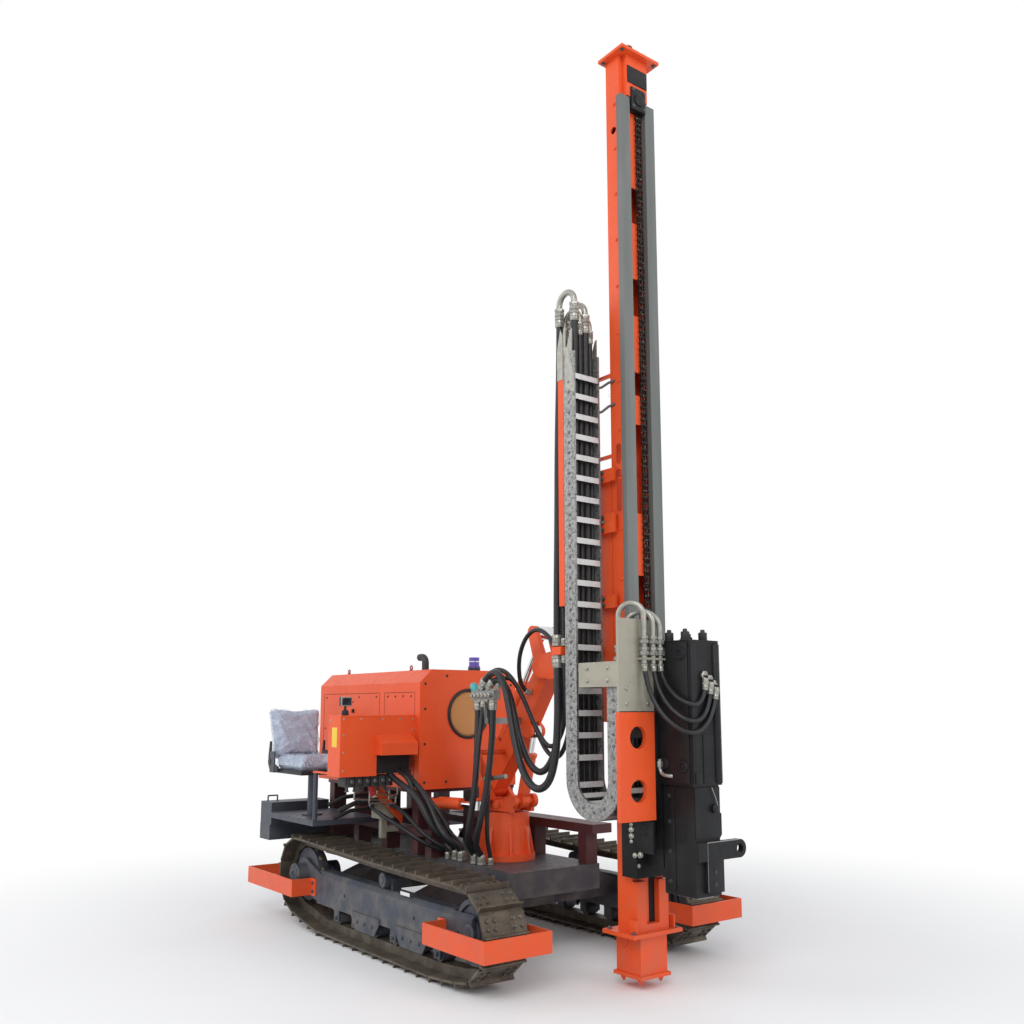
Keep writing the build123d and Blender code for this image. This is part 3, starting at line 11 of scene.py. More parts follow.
import bmesh
import bpy
import numpy as np
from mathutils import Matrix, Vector

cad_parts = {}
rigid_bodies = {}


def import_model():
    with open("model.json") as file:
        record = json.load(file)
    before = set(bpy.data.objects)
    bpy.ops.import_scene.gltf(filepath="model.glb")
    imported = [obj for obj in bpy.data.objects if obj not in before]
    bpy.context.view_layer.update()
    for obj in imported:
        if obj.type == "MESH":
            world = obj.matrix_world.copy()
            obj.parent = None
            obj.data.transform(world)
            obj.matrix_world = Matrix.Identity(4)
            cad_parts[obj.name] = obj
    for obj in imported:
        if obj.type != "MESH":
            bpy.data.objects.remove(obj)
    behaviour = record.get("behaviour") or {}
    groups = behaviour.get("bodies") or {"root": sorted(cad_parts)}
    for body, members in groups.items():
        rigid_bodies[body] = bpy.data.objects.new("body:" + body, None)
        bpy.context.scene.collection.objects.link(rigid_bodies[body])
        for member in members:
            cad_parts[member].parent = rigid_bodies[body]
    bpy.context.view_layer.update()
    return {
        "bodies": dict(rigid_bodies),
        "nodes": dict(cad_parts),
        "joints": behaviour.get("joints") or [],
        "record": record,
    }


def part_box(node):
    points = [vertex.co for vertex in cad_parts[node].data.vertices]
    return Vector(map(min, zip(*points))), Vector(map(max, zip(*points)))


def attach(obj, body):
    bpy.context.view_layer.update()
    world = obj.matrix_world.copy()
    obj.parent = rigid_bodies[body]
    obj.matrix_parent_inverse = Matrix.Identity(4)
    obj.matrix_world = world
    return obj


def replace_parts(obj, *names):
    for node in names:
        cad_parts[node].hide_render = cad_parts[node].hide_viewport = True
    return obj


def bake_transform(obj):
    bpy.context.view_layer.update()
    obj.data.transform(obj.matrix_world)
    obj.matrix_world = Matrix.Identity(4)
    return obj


log = logging.getLogger("rig")

Point = tuple[float, float, float]
Places = Union[float, Sequence[float]]
Plate = tuple[np.ndarray, np.ndarray, np.ndarray]
Colour = tuple[float, float, float]
UP: Point = (0.0, 0.0, 1.0)
DOWN: Point = (0.0, 0.0, -1.0)
RIGHT: Point = (-1.0, 0.0, 0.0)
LEFT: Point = (1.0, 0.0, 0.0)
FRONT: Point = (0.0, -1.0, 0.0)
REAR: Point = (0.0, 1.0, 0.0)
SIDES = {"right": -1.0, "left": 1.0}


# Shader graphs


class Socket:
    """An output of a shader node that takes part in products like a number."""

    def __init__(self, graph: "Graph", output: bpy.types.NodeSocket) -> None:
        """Wrap one output of a graph's node."""
        self.graph = graph
        self.output = output

    def join(self, operation: str, first: object, second: object) -> "Socket":
        """Join two values by a Math node."""
        return self.graph.node("ShaderNodeMath", {0: first, 1: second}, operation=operation)

    def __mul__(self, other: object) -> "Socket":
        """This socket times a socket or number."""
        return self.join("MULTIPLY", self, other)

    def __rmul__(self, other: object) -> "Socket":
        """A number times this socket."""
        return self.join("MULTIPLY", other, self)

    def most(self, other: object) -> "Socket":
        """The greater of this socket and another value."""
        return self.join("MAXIMUM", self, other)

    def ramp(self, start: float, end: float, low: float = 0.0, high: float = 1.0) -> "Socket":
        """Map start..end smoothly to low..high.

        Args:
            start: Value that gives low.
            end: Value that gives high.
            low: Result at start.
            high: Result at end.

        Returns:
            The mapped value as a socket.
        """
        links = {"Value": self, "From Min": start, "From Max": end, "To Min": low, "To Max": high}
        return self.graph.node("ShaderNodeMapRange", links, interpolation_type="SMOOTHSTEP")


class Graph:
    """A node tree whose nodes all come from one method."""

    def __init__(self, tree: bpy.types.NodeTree) -> None:
        """Wrap a node tree."""
        self.tree = tree

    def set(self, target: bpy.types.NodeSocket, value: object) -> None:
        """Link a wrapped socket to an input, or set the input's own value.

        Args:
            target: The input.
            value: A wrapped socket or a plain value.
        """
        if isinstance(value, Socket):
            self.tree.links.new(value.output, target)
        else:
            target.default_value = value

    def node(self, kind: str, inputs: dict, output: object = 0, **settings: object) -> Socket:
        """Add any node.

        Args:
            kind: Blender's name of the node type.
            inputs: Values or sockets by input name or number.
            output: Name or number of the output that is returned.
            settings: Attributes set on the node.

        Returns:
            The wanted output as a socket.
        """
        made = self.tree.nodes.new(kind)
        for name, value in settings.items():
            setattr(made, name, value)
        for name, value in inputs.items():
            self.set(made.inputs[name], value)
        return Socket(self, made.outputs[output])

    def places(self) -> Socket:
        """Object coordinates, in metres."""
        return self.node("ShaderNodeTexCoord", {}, "Object")

    def along(self, axis: str) -> Socket:
        """One of the object coordinates."""
        return self.node("ShaderNodeSeparateXYZ", {0: self.places()}, axis)

    def noise(self, scale: float, detail: float, stretch: Point = (1.0, 1.0, 1.0)) -> Socket:
        """Noise from 0 to 1 in object coordinates.

        Args:
            scale: Size of the pattern, in counts per metre.
            detail: Number of finer layers.
            stretch: Scale along each axis.

        Returns:
            The noise's socket.
        """
        inputs = {0: self.places(), 1: stretch}
        places = self.node("ShaderNodeVectorMath", inputs, operation="MULTIPLY")
        return self.node("ShaderNodeTexNoise", {"Vector": places, "Scale": scale, "Detail": detail})

    def mix(self, factor: object, first: object, second: object) -> Socket:
        """Blend two colours by a factor.

        Args:
            factor: Share of the second colour.
            first: A colour or its socket.
            second: A colour or its socket.

        Returns:
            The blend's socket.
        """
        first, second = ((*c, 1.0) if isinstance(c, tuple) else c for c in (first, second))
        inputs = {"Factor": factor, 6: first, 7: second}
        return self.node("ShaderNodeMix", inputs, 2, data_type="RGBA")

    def mix_shader(self, factor: object, first: Socket, second: Socket) -> Socket:
        """Blend two shaders by a factor."""
        return self.node("ShaderNodeMixShader", {0: factor, 1: first, 2: second})

    def seen(self) -> Socket:
        """1 on rays that show a surface to the camera, directly or in a gloss or glass, else 0.

        Returns:
            The factor's socket.
        """
        camera, glossy, clear = (self.node("ShaderNodeLightPath", {}, f"Is {kind} Ray")
                                 for kind in ("Camera", "Glossy", "Transmission"))
        return camera.most(glossy).most(clear)


DUST: Colour = (0.22, 0.19, 0.15)


@dataclass(frozen=True)
class Finish:
    """How one kind of surface looks. Scales are counts per metre, depths are metres."""

    name: str
    base: Colour
    worn: Colour
    speck: Colour
    patch_scale: float = 5.0
    patch_share: float = 0.35
    speck_scale: float = 90.0
    speck_share: float = 0.06
    roughness: tuple[float, float] = (0.3, 0.45)
    metallic: float = 0.0
    grain_scale: float = 260.0
    grain_depth: float = 0.0002
    coat: float = 0.0
    specular: float = 0.3
    stretch: Point = (1.0, 1.0, 1.0)
    dust: float = 0.0
    alpha: tuple[float, float] = (1.0, 1.0)
    below: Optional[tuple[float, float, Colour]] = None

    DETAIL = 4.0
    FINE_DETAIL = 5.0
    PATCH_EDGE = (0.75, 0.85)
    SPECK_EDGE = (0.78, 0.82)
    DUST_NOISE = (9.0, 6.0)
    DUST_EDGE = (0.35, 0.75)
    DUST_TOP = 1.0
    COLOUR_EDGE = 0.001
    ROUGH_SCALE = 6.0
    ROUGH_EDGE = (0.25, 0.8)
    ALPHA_SCALE = 18.0
    ALPHA_EDGE = (0.3, 0.75)
    BUMP_STRENGTH = 0.6
    COAT_ROUGHNESS = 0.12

    def material(self) -> bpy.types.Material:
        """Build the material: patches, specks, a low dust line and a fine grain.

        Returns:
            The material.
        """
        made = bpy.data.materials.new(self.name)
        made.use_nodes = True
        tree = made.node_tree
        tree.nodes.clear()
        out = tree.nodes.new("ShaderNodeOutputMaterial")
        surface = tree.nodes.new("ShaderNodeBsdfPrincipled")
        tree.links.new(surface.outputs["BSDF"], out.inputs["Surface"])
        graph = Graph(tree)
        patch = graph.noise(self.patch_scale, self.DETAIL, self.stretch)
        patch = patch.ramp(self.PATCH_EDGE[0] - self.patch_share, self.PATCH_EDGE[1])
        speck = graph.noise(self.speck_scale, self.FINE_DETAIL)
        speck = speck.ramp(*(edge - self.speck_share for edge in self.SPECK_EDGE))
        grain = graph.noise(self.grain_scale, self.DETAIL, self.stretch)
        rough = graph.noise(self.patch_scale * self.ROUGH_SCALE, self.DETAIL, self.stretch)
        bump = {"Height": grain, "Distance": self.grain_depth, "Strength": self.BUMP_STRENGTH}
        values = {
            "Base Color": self.colour(graph, patch, speck),
            "Roughness": rough.ramp(*self.ROUGH_EDGE, *self.roughness),
            "Metallic": self.metallic,
            "Coat Weight": self.coat,
            "Coat Roughness": self.COAT_ROUGHNESS,
            "Specular IOR Level": self.specular,
            "Normal": graph.node("ShaderNodeBump", bump),
        }
        if self.alpha != (1.0, 1.0):
            haze = graph.noise(self.ALPHA_SCALE, self.FINE_DETAIL)
            values["Alpha"] = haze.ramp(*self.ALPHA_EDGE, *self.alpha)
        for name, value in values.items():
            graph.set(surface.inputs[name], value)
        return made

    def colour(self, graph: Graph, patch: Socket, speck: Socket) -> Socket:
        """The surface's colour.

        Args:
            graph: The material's graph.
            patch: Where the worn colour shows.
            speck: Where the specks show.

        Returns:
            The colour's socket.
        """
        colour = graph.mix(speck, graph.mix(patch, self.base, self.worn), self.speck)
        if self.dust:
            low = graph.along("Z").ramp(self.DUST_TOP, 0.0)
            low = low * graph.noise(*self.DUST_NOISE).ramp(*self.DUST_EDGE) * self.dust
            colour = graph.mix(low, colour, DUST)
        if self.below:
            # Another colour where both x and z are less than the given ones, as on a post
            *ends, other = self.below
            in_x, in_z = (graph.along(axis).ramp(end + self.COLOUR_EDGE, end)
                          for axis, end in zip("XZ", ends))
            colour = graph.mix(in_x * in_z, colour, other)
        return colour


class Look(Enum):
    """Every finish on the machine."""

    ORANGE = Finish("orange_paint", (0.76, 0.092, 0.022), (0.70, 0.078, 0.018), (0.62, 0.07, 0.02),
                    roughness=(0.30, 0.46), coat=0.06, patch_scale=3.0, speck_share=0.0,
                    grain_depth=0.0001, dust=0.22)
    BOX_ORANGE = replace(ORANGE, name="box_orange_paint", dust=0.0,
                         below=(-0.90, 1.118, (0.052, 0.060, 0.080)))
    SEAT_SHELL = Finish("seat_shell", (0.02, 0.02, 0.024), (0.03, 0.03, 0.034), (0.05, 0.05, 0.05),
                        roughness=(0.4, 0.55))
    GREY = Finish("grey_paint", (0.052, 0.060, 0.080), (0.075, 0.082, 0.1), (0.11, 0.11, 0.11),
                  roughness=(0.38, 0.55), speck_share=0.05, dust=0.5)
    CHASSIS = Finish("chassis_paint", (0.050, 0.048, 0.056), (0.07, 0.064, 0.068), (0.11, 0.1, 0.1),
                     roughness=(0.4, 0.6), dust=0.5)
    MAROON = Finish("red_brown_paint", (0.075, 0.020, 0.022), (0.055, 0.018, 0.02),
                    (0.12, 0.06, 0.05), roughness=(0.4, 0.55), dust=0.3)
    TRACK = Finish("worn_track_steel", (0.070, 0.060, 0.048), (0.13, 0.105, 0.075),
                   (0.26, 0.24, 0.21), patch_scale=14.0, patch_share=0.5, speck_scale=160.0,
                   speck_share=0.12, roughness=(0.42, 0.7), metallic=0.55, grain_scale=320.0,
                   grain_depth=0.0012, dust=0.6)
    TRACK_BOLT = Finish("track_bolt", (0.10, 0.09, 0.075), (0.2, 0.18, 0.15), (0.3, 0.28, 0.25),
                        metallic=0.7)
    BLACK = Finish("hammer_paint", (0.011, 0.0115, 0.0125), (0.02, 0.02, 0.022),
                   (0.045, 0.045, 0.045), roughness=(0.34, 0.55), coat=0.02, speck_share=0.02,
                   specular=0.2, grain_depth=0.0005)
    STEEL = Finish("bare_steel", (0.27, 0.275, 0.27), (0.19, 0.19, 0.185), (0.38, 0.38, 0.37),
                   roughness=(0.3, 0.5), metallic=0.85, stretch=(1.0, 1.0, 0.06), grain_scale=420.0)
    RAIL = Finish("scuffed_rail_steel", (0.185, 0.195, 0.190), (0.110, 0.118, 0.112),
                  (0.26, 0.26, 0.255), patch_scale=6.0, patch_share=0.5, roughness=(0.42, 0.6),
                  metallic=0.25, stretch=(1.0, 1.0, 0.08), grain_scale=300.0)
    ZINC = Finish("zinc_fitting", (0.36, 0.355, 0.32), (0.26, 0.255, 0.225), (0.5, 0.49, 0.46),
                  metallic=0.6, roughness=(0.26, 0.42), patch_scale=34.0, patch_share=0.5)
    BAR = Finish("chain_bar_steel", (0.60, 0.60, 0.59), (0.48, 0.48, 0.47), (0.30, 0.30, 0.30),
                 metallic=0.1, roughness=(0.3, 0.45), patch_scale=24.0)
    BEIGE = Finish("primed_steel", (0.36, 0.34, 0.275), (0.30, 0.28, 0.225), (0.45, 0.43, 0.36),
                   metallic=0.25, roughness=(0.35, 0.5), patch_scale=12.0)
    CHAIN_PLATE = Finish("galvanised_plate", (0.36, 0.36, 0.35), (0.17, 0.17, 0.17),
                         (0.09, 0.09, 0.09), patch_scale=42.0, patch_share=0.55, speck_scale=70.0,
                         speck_share=0.2, metallic=0.6, roughness=(0.3, 0.55))
    # The light specks on this chain are painted glints, not marks on its links.
    FEED_CHAIN = Finish("chain_with_painted_glints", (0.028, 0.022, 0.020), (0.060, 0.042, 0.034),
                        (0.32, 0.30, 0.27), metallic=0.5, patch_scale=40.0, speck_share=0.16)
    HOSE = Finish("hose_rubber", (0.0135, 0.0138, 0.0155), (0.022, 0.022, 0.026),
                  (0.045, 0.045, 0.05), roughness=(0.34, 0.5), grain_scale=520.0,
                  grain_depth=0.0009, patch_scale=25.0, coat=0.08)
    CHROME = Finish("chromed_rod", (0.72, 0.72, 0.73), (0.62, 0.62, 0.63), (0.5, 0.5, 0.5),
                    metallic=1.0, roughness=(0.08, 0.16), grain_depth=0.00003)
    IRON = Finish("dark_iron", (0.04, 0.04, 0.042), (0.06, 0.057, 0.052), (0.1, 0.09, 0.08),
                  metallic=0.3, roughness=(0.45, 0.65), grain_depth=0.0008)
    DARK_STEEL = Finish("dark_steel", (0.10, 0.10, 0.105), (0.16, 0.155, 0.15), (0.25, 0.24, 0.22),
                        metallic=0.7, roughness=(0.32, 0.5), patch_scale=20.0)
    CHAIN_PIN = Finish("chain_pin", (0.12, 0.12, 0.12), (0.2, 0.2, 0.19), (0.3, 0.3, 0.3),
                       metallic=0.7)
    SEAM = Finish("panel_seam", (0.20, 0.030, 0.012), (0.16, 0.025, 0.01), (0.1, 0.02, 0.01),
                  speck_share=0.0, roughness=(0.6, 0.8))
    EYE_RED = Finish("red_eye", (0.35, 0.02, 0.03), (0.28, 0.02, 0.03), (0.2, 0.05, 0.05))
    PLASTIC = Finish("moulded_plastic", (0.02, 0.02, 0.023), (0.028, 0.028, 0.03),
                     (0.04, 0.04, 0.04), roughness=(0.45, 0.6), speck_share=0.0)
    LENS = Finish("tinted_lens", (0.09, 0.055, 0.42), (0.12, 0.06, 0.34), (0.2, 0.15, 0.5),
                  coat=0.8, roughness=(0.1, 0.2), speck_share=0.0)
    PAD = Finish("seat_pad", (0.36, 0.40, 0.48), (0.28, 0.32, 0.40), (0.5, 0.53, 0.6),
                 roughness=(0.5, 0.7), patch_scale=9.0, speck_share=0.0, grain_depth=0.0006)
    PAD_WELT = Finish("seat_welt", (0.36, 0.39, 0.45), (0.32, 0.35, 0.41), (0.4, 0.42, 0.46),
                      roughness=(0.5, 0.7), speck_share=0.0)
    FILM = Finish("clear_film", (0.60, 0.68, 0.82), (0.74, 0.80, 0.90), (0.85, 0.88, 0.95),
                  roughness=(0.2, 0.4), patch_scale=14.0, coat=0.3, grain_scale=22.0,
                  grain_depth=0.0004, speck_share=0.0, alpha=(0.25, 0.62))
    TAN = Finish("tan_disc", (0.50, 0.23, 0.08), (0.42, 0.19, 0.07), (0.3, 0.14, 0.06),
                 roughness=(0.5, 0.65))
    TEAL = Finish("hose_cap", (0.06, 0.42, 0.42), (0.05, 0.36, 0.36), (0.1, 0.5, 0.5),
                  roughness=(0.3, 0.4))
    LABEL_WHITE = Finish("blank_plate", (0.75, 0.75, 0.74), (0.68, 0.68, 0.67), (0.5, 0.5, 0.5),
                         speck_share=0.0)
    LABEL_YELLOW = Finish("blank_yellow", (0.80, 0.55, 0.04), (0.74, 0.5, 0.05), (0.6, 0.42, 0.06),
                          speck_share=0.0)
    # Near black: painted shade in holes, slots, windows and openings, and a few small dark parts
    # such as the hood latch.
    DARK = Finish("near_black_and_painted_shade", (0.008, 0.008, 0.009), (0.012, 0.012, 0.012), (0.02, 0.02, 0.02),
                  roughness=(0.6, 0.8))
    FLOOR = Finish("floor", (0.92, 0.92, 0.92), (0.90, 0.90, 0.90), (0.88, 0.88, 0.88),
                   patch_scale=0.6, speck_scale=30.0, speck_share=0.0, roughness=(0.6, 0.75),
                   grain_depth=0.0001)
    SCREEN = Finish("dark_glass", (0.015, 0.02, 0.03), (0.02, 0.025, 0.035), (0.03, 0.03, 0.04),
                    coat=0.9, roughness=(0.08, 0.15), speck_share=0.0)

    def get(self) -> bpy.types.Material:
        """The finish's material, made once."""
        found = bpy.data.materials.get(self.value.name)
        return found or self.value.material()


def pair(name: str) -> tuple[str, ...]:
    """The names of a node's two sides."""
    return tuple(f"{name}_{side}" for side in SIDES)


CAD_LOOKS: dict[Look, Sequence[str]] = {
    Look.ORANGE: ("hood", "hood_door", "pedestal", "turret", "boom", "lift_barrel", "tilt_barrel",
                  "swing_barrel", "mast_carrier", "mast_beam", "mast_head", "mast_foot",
                  "chain_bar", "cover", *pair("guard_front"), *pair("guard_rear")),
    Look.BOX_ORANGE: ("control_box",),
    Look.GREY: (*pair("track_frame"), *pair("idler"), *pair("sprocket"), *pair("rollers"),
                "platform", "rear_box", "rear_beam", "seat_base"),
    Look.CHASSIS: ("chassis",),
    Look.MAROON: ("upper_frame",),
    Look.TRACK: pair("track"),
    Look.BLACK: ("carriage", "hammer_housing", "hammer_body"),
    Look.STEEL: ("slide_barrel", "manifold"),
    Look.RAIL: ("mast_rails",),
    Look.BEIGE: ("valve_block", "chain_bracket"),
    Look.CHAIN_PLATE: ("drag_chain",),
    Look.CHROME: ("swing_rod", "lift_rod", "tilt_rod", "slide_rod"),
    Look.IRON: ("engine", "exhaust"),
    Look.TAN: ("fan_guard",),
    Look.LENS: ("beacon",),
    Look.PLASTIC: ("display",),
}


# Mesh building


def frame_of(normal: Sequence[float], spin: float = 0.0) -> np.ndarray:
    """Three rows that turn local axes so that local Z lies along a normal.

    Args:
        normal: Direction of local Z.
        spin: Turn about it, in radians.

    Returns:
        A 3 by 3 array whose rows are local X, Y and Z.
    """
    z = np.array(normal, float) / np.linalg.norm(normal)
    side = np.array((0.0, 0.0, 1.0)) if abs(z[2]) < 0.9 else np.array((0.0, 1.0, 0.0))
    x = np.cross(side, z)
    x /= np.linalg.norm(x)
    y = np.cross(z, x)
    return np.array((x * math.cos(spin) + y * math.sin(spin),
                     y * math.cos(spin) - x * math.sin(spin), z))


def skin(levels: int, sides: int) -> list[tuple[int, ...]]:
    """Faces of a closed form made of rings: its foot, the bands between rings and its top.

    Args:
        levels: Number of rings.
        sides: Points on a ring.

    Returns:
        The faces as rows of point numbers.
    """
    top = (levels - 1) * sides
    bands = [(low + k, low + (k + 1) % sides, low + sides + (k + 1) % sides, low + sides + k)
             for low in range(0, top, sides) for k in range(sides)]
    return [tuple(range(sides))[::-1], *bands, tuple(range(top, top + sides))]


class Shape:
    """Points and faces that grow piece by piece and end as one mesh object."""

    def __init__(self) -> None:
        """Start with nothing."""
        self.points: list[np.ndarray] = []
        self.faces: list[tuple[int, ...]] = []
        self.count = 0

    def add(self, points: np.ndarray, faces: Iterable[Sequence[int]]) -> None:
        """Add points with faces that count from the first of them.

        Args:
            points: Rows of x, y and z.
            faces: Rows of point numbers, from 0.
        """
        self.faces.extend(tuple(i + self.count for i in face) for face in faces)
        self.points.append(points)
        self.count += len(points)

    def stack(self, rings: Sequence[tuple[float, float]], sides: int, at: Sequence[float],
              normal: Sequence[float] = UP, spin: float = 0.0) -> None:
        """Add a closed turned form.

        Args:
            rings: Radius and height of each ring, from the foot up.
            sides: Points on a ring.
            at: Place of the local origin.
            normal: Direction of the axis.
            spin: Turn about the axis.
        """
        # Ring point k is (r cos(2 pi k / n), r sin(2 pi k / n), h)
        turn = np.arange(sides) * (2.0 * math.pi / sides)
        circle = np.stack((np.cos(turn), np.sin(turn), np.zeros(sides)), 1)
        local = np.concatenate([circle * r + np.array((0.0, 0.0, h)) for r, h in rings])
        self.add(local @ frame_of(normal, spin) + np.array(at, float), skin(len(rings), sides))

    def bolt(self, at: Sequence[float], normal: Sequence[float], size: float,
             spin: float = 0.0) -> None:
        """Add a hexagon head on its washer.

        Args:
            at: Foot of the bolt.
            normal: Its direction.
            size: The head's radius.
            spin: Turn about its axis.
        """
        self.stack([(1.3 * size, -0.002), (1.3 * size, 0.2 * size), (1.22 * size, 0.26 * size)], 16,
                   at, normal)
        self.stack([(size, 0.2 * size), (size, 0.85 * size), (0.84 * size, size)], 6, at, normal,
                   spin)

    def rivet(self, at: Sequence[float], normal: Sequence[float], size: float) -> None:
        """Add a low round head."""
        self.stack([(size, -0.001), (0.95 * size, 0.25 * size), (0.6 * size, 0.5 * size)], 12, at,
                   normal)

    def bolts(self, x: Places, y: Places, z: Places, normal: Sequence[float], size: float) -> None:
        """Add a bolt at every meeting of the given x, y and z, each one number or several."""
        for at in product(*map(np.atleast_1d, (x, y, z))):
            self.bolt(at, normal, size)

    def rivets(self, x: Places, y: Places, z: Places, normal: Sequence[float], size: float) -> None:
        """Add rivets in the same way."""
        for at in product(*map(np.atleast_1d, (x, y, z))):
            self.rivet(at, normal, size)

    def slab(self, low: Sequence[float], high: Sequence[float], edge: float = 0.003) -> None:
        """Add a plate between two corners with its edges eased.

        Args:
            low: Lowest corner.
            high: Highest corner.
            edge: Width of the bevel.
        """
        made = bmesh.new()
        bmesh.ops.create_cube(made, size=1.0)
        size = Vector(high) - Vector(low)
        bmesh.ops.scale(made, vec=size, verts=made.verts)
        edge = min(edge, min(size) * 0.45)
        bmesh.ops.bevel(made, geom=made.edges[:], offset=edge, segments=2, affect="EDGES",
                        profile=0.7)
        bmesh.ops.translate(made, vec=(Vector(high) + Vector(low)) / 2.0, verts=made.verts)
        made.verts.index_update()
        points = np.array([v.co for v in made.verts], float)
        self.add(points, [[v.index for v in f.verts] for f in made.faces])
        made.free()

    def prism(self, outline: Sequence[tuple[float, float]], at: Sequence[float],
              normal: Sequence[float], depth: float) -> None:
        """Add a flat outline raised along a normal.

        Args:
            outline: Corners in local X and Y.
            at: Place of the local origin.
            normal: Direction of the depth.
            depth: How far it is raised.
        """
        flat = np.array([(x, y, 0.0) for x, y in outline], float)
        local = np.concatenate((flat, flat + np.array((0.0, 0.0, depth))))
        self.add(local @ frame_of(normal) + np.array(at, float), skin(2, len(flat)))

    def tube(self, path: np.ndarray, radius: object, sides: int = 14) -> None:
        """Add a round tube along points, with its ends closed.

        Args:
            path: Points of the centre line.
            radius: One radius, or one for each point.
            sides: Points round the tube.
        """
        path = np.asarray(path, float)
        radii = np.broadcast_to(np.asarray(radius, float), (len(path),))
        runs = np.gradient(path, axis=0)
        runs /= np.linalg.norm(runs, axis=1)[:, None]
        x = frame_of(runs[0])[0]
        axes = []
        for run in runs:
            x = x - run * (x @ run)
            x = x / np.linalg.norm(x)
            axes.append((x, np.cross(run, x)))
        axes = np.array(axes)
        # Ring point k is c + r (cos(2 pi k / n) x + sin(2 pi k / n) y)
        turn = np.arange(sides) * (2.0 * math.pi / sides)
        wheel = np.stack((np.cos(turn), np.sin(turn)), 1)
        rings = path[:, None, :] + radii[:, None, None] * np.einsum("kj,njc->nkc", wheel, axes)
        self.add(rings.reshape(-1, 3), skin(len(path), sides))

    def build(self, name: str, look: Look, body: Optional[str] = "base",
              smooth: float = 40.0) -> bpy.types.Object:
        """Make the object.

        Args:
            name: The piece's name.
            look: Its finish.
            body: The body that it rides on, or None.
            smooth: Largest angle in degrees that is shaded smooth.

        Returns:
            The new object.
        """
        mesh = bpy.data.meshes.new(name)
        mesh.from_pydata(np.concatenate(self.points).tolist(), [], self.faces)
        mesh.update()
        made = bpy.data.objects.new(name, mesh)
        bpy.context.scene.collection.objects.link(made)
        mesh.polygons.foreach_set("use_smooth", np.ones(len(mesh.polygons), bool))
        mesh.set_sharp_from_angle(angle=math.radians(smooth))
        mesh.materials.append(look.get())
        if body is not None:
            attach(made, body)
        return made


def arc(centre: Sequence[float], first: Sequence[float], second: Sequence[float], radius: float,
        start: float, end: float, steps: int = 16) -> np.ndarray:
    """Points on an arc: centre + radius (cos a first + sin a second), a in degrees.

    Args:
        centre: Middle of the arc.
        first: Direction at 0 degrees.
        second: Direction at 90 degrees.
        radius: The arc's radius.
        start: First angle in degrees.
        end: Last angle in degrees.
        steps: Number of points.

    Returns:
        The points as rows.
    """
    turn = np.radians(np.linspace(start, end, steps))[:, None]
    way = np.cos(turn) * np.array(first) + np.sin(turn) * np.array(second)
    return np.array(centre) + radius * way


# Hoses


def spline_points(name: str, route: Sequence[Point]) -> np.ndarray:
    """Points on the smooth curve whose control points are the route.

    Args:
        name: Name of the curve while it exists.
        route: Control points in metres.

    Returns:
        The points as rows.
    """
    curve = bpy.data.curves.new(name, "CURVE")
    curve.dimensions = "3D"
    spline = curve.splines.new("NURBS")
    spline.points.add(len(route) - 1)
    for place, point in zip(spline.points, route):
        place.co = (*point, 1.0)
    spline.order_u = 3
    spline.use_endpoint_u = True
    spline.resolution_u = 10
    holder = bpy.data.objects.new(name, curve)
    mesh = bpy.data.meshes.new_from_object(holder)
    points = np.array([v.co for v in mesh.vertices], float)
    bpy.data.objects.remove(holder)
    bpy.data.meshes.remove(mesh)
    bpy.data.curves.remove(curve)
    return points


def metres(point: Sequence[int]) -> Point:
    """A point given in millimetres, in metres."""
    return tuple(value / 1000.0 for value in point)


@dataclass(frozen=True)
class Hose:
    """One hose: its size in metres, what its ends ride on and its route in millimetres."""

    name: str
    diameter: float
    bodies: tuple[str, ...]
    route: Sequence[tuple[int, int, int]]
    lay: str = "hanging"

    # Radius and height of the crimped sleeve's and the nut's rings, in hose radii
    SLEEVE = ((1.28, 1.1), (1.34, 1.3), (1.34, 2.0), (1.22, 2.1), (1.34, 2.2), (1.34, 3.0),
              (1.12, 3.3))
    NUT = ((1.3, 0.05), (1.5, 0.15), (1.5, 0.95), (1.3, 1.1))

    def build(self) -> bpy.types.Object:
        """Returns:
            The hose.
        """
        route = [metres(point) for point in self.route]
        path = spline_points(self.name, route)
        shape = Shape()
        shape.tube(path, self.diameter / 2.0, 16)
        hose = shape.build(self.name, Look.HOSE, None)
        ends = [self.end_piece(0, path[0], path[1] - path[0]),
                self.end_piece(1, path[-1], path[-2] - path[-1])]
        for piece in (hose, *ends):
            if len(self.bodies) == 1:
                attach(piece, self.bodies[0])
            else:
                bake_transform(piece)
        return hose

    def end_piece(self, number: int, start: np.ndarray, run: np.ndarray) -> bpy.types.Object:
        """The crimped sleeve and hexagon nut at one end.

        Args:
            number: The end's number.
            start: Where the hose ends.
            run: Direction into the hose.

        Returns:
            The fitting.
        """
        shape, radius = Shape(), self.diameter / 2.0
        for rings, sides in ((self.SLEEVE, 18), (self.NUT, 6)):
            shape.stack([(r * radius, h * radius) for r, h in rings], sides, start, run)
        return shape.build(f"{self.name}_end_{number}", Look.ZINC, None)


MAIN_HOSE = 0.042
MIDDLE_HOSE = 0.029
THIN_HOSE = 0.026

TO_MAST = ("boom", "mast_carrier")
TO_TURRET = ("boom", "turret")
FIXED = ("base",)
MOVING = ("carriage",)

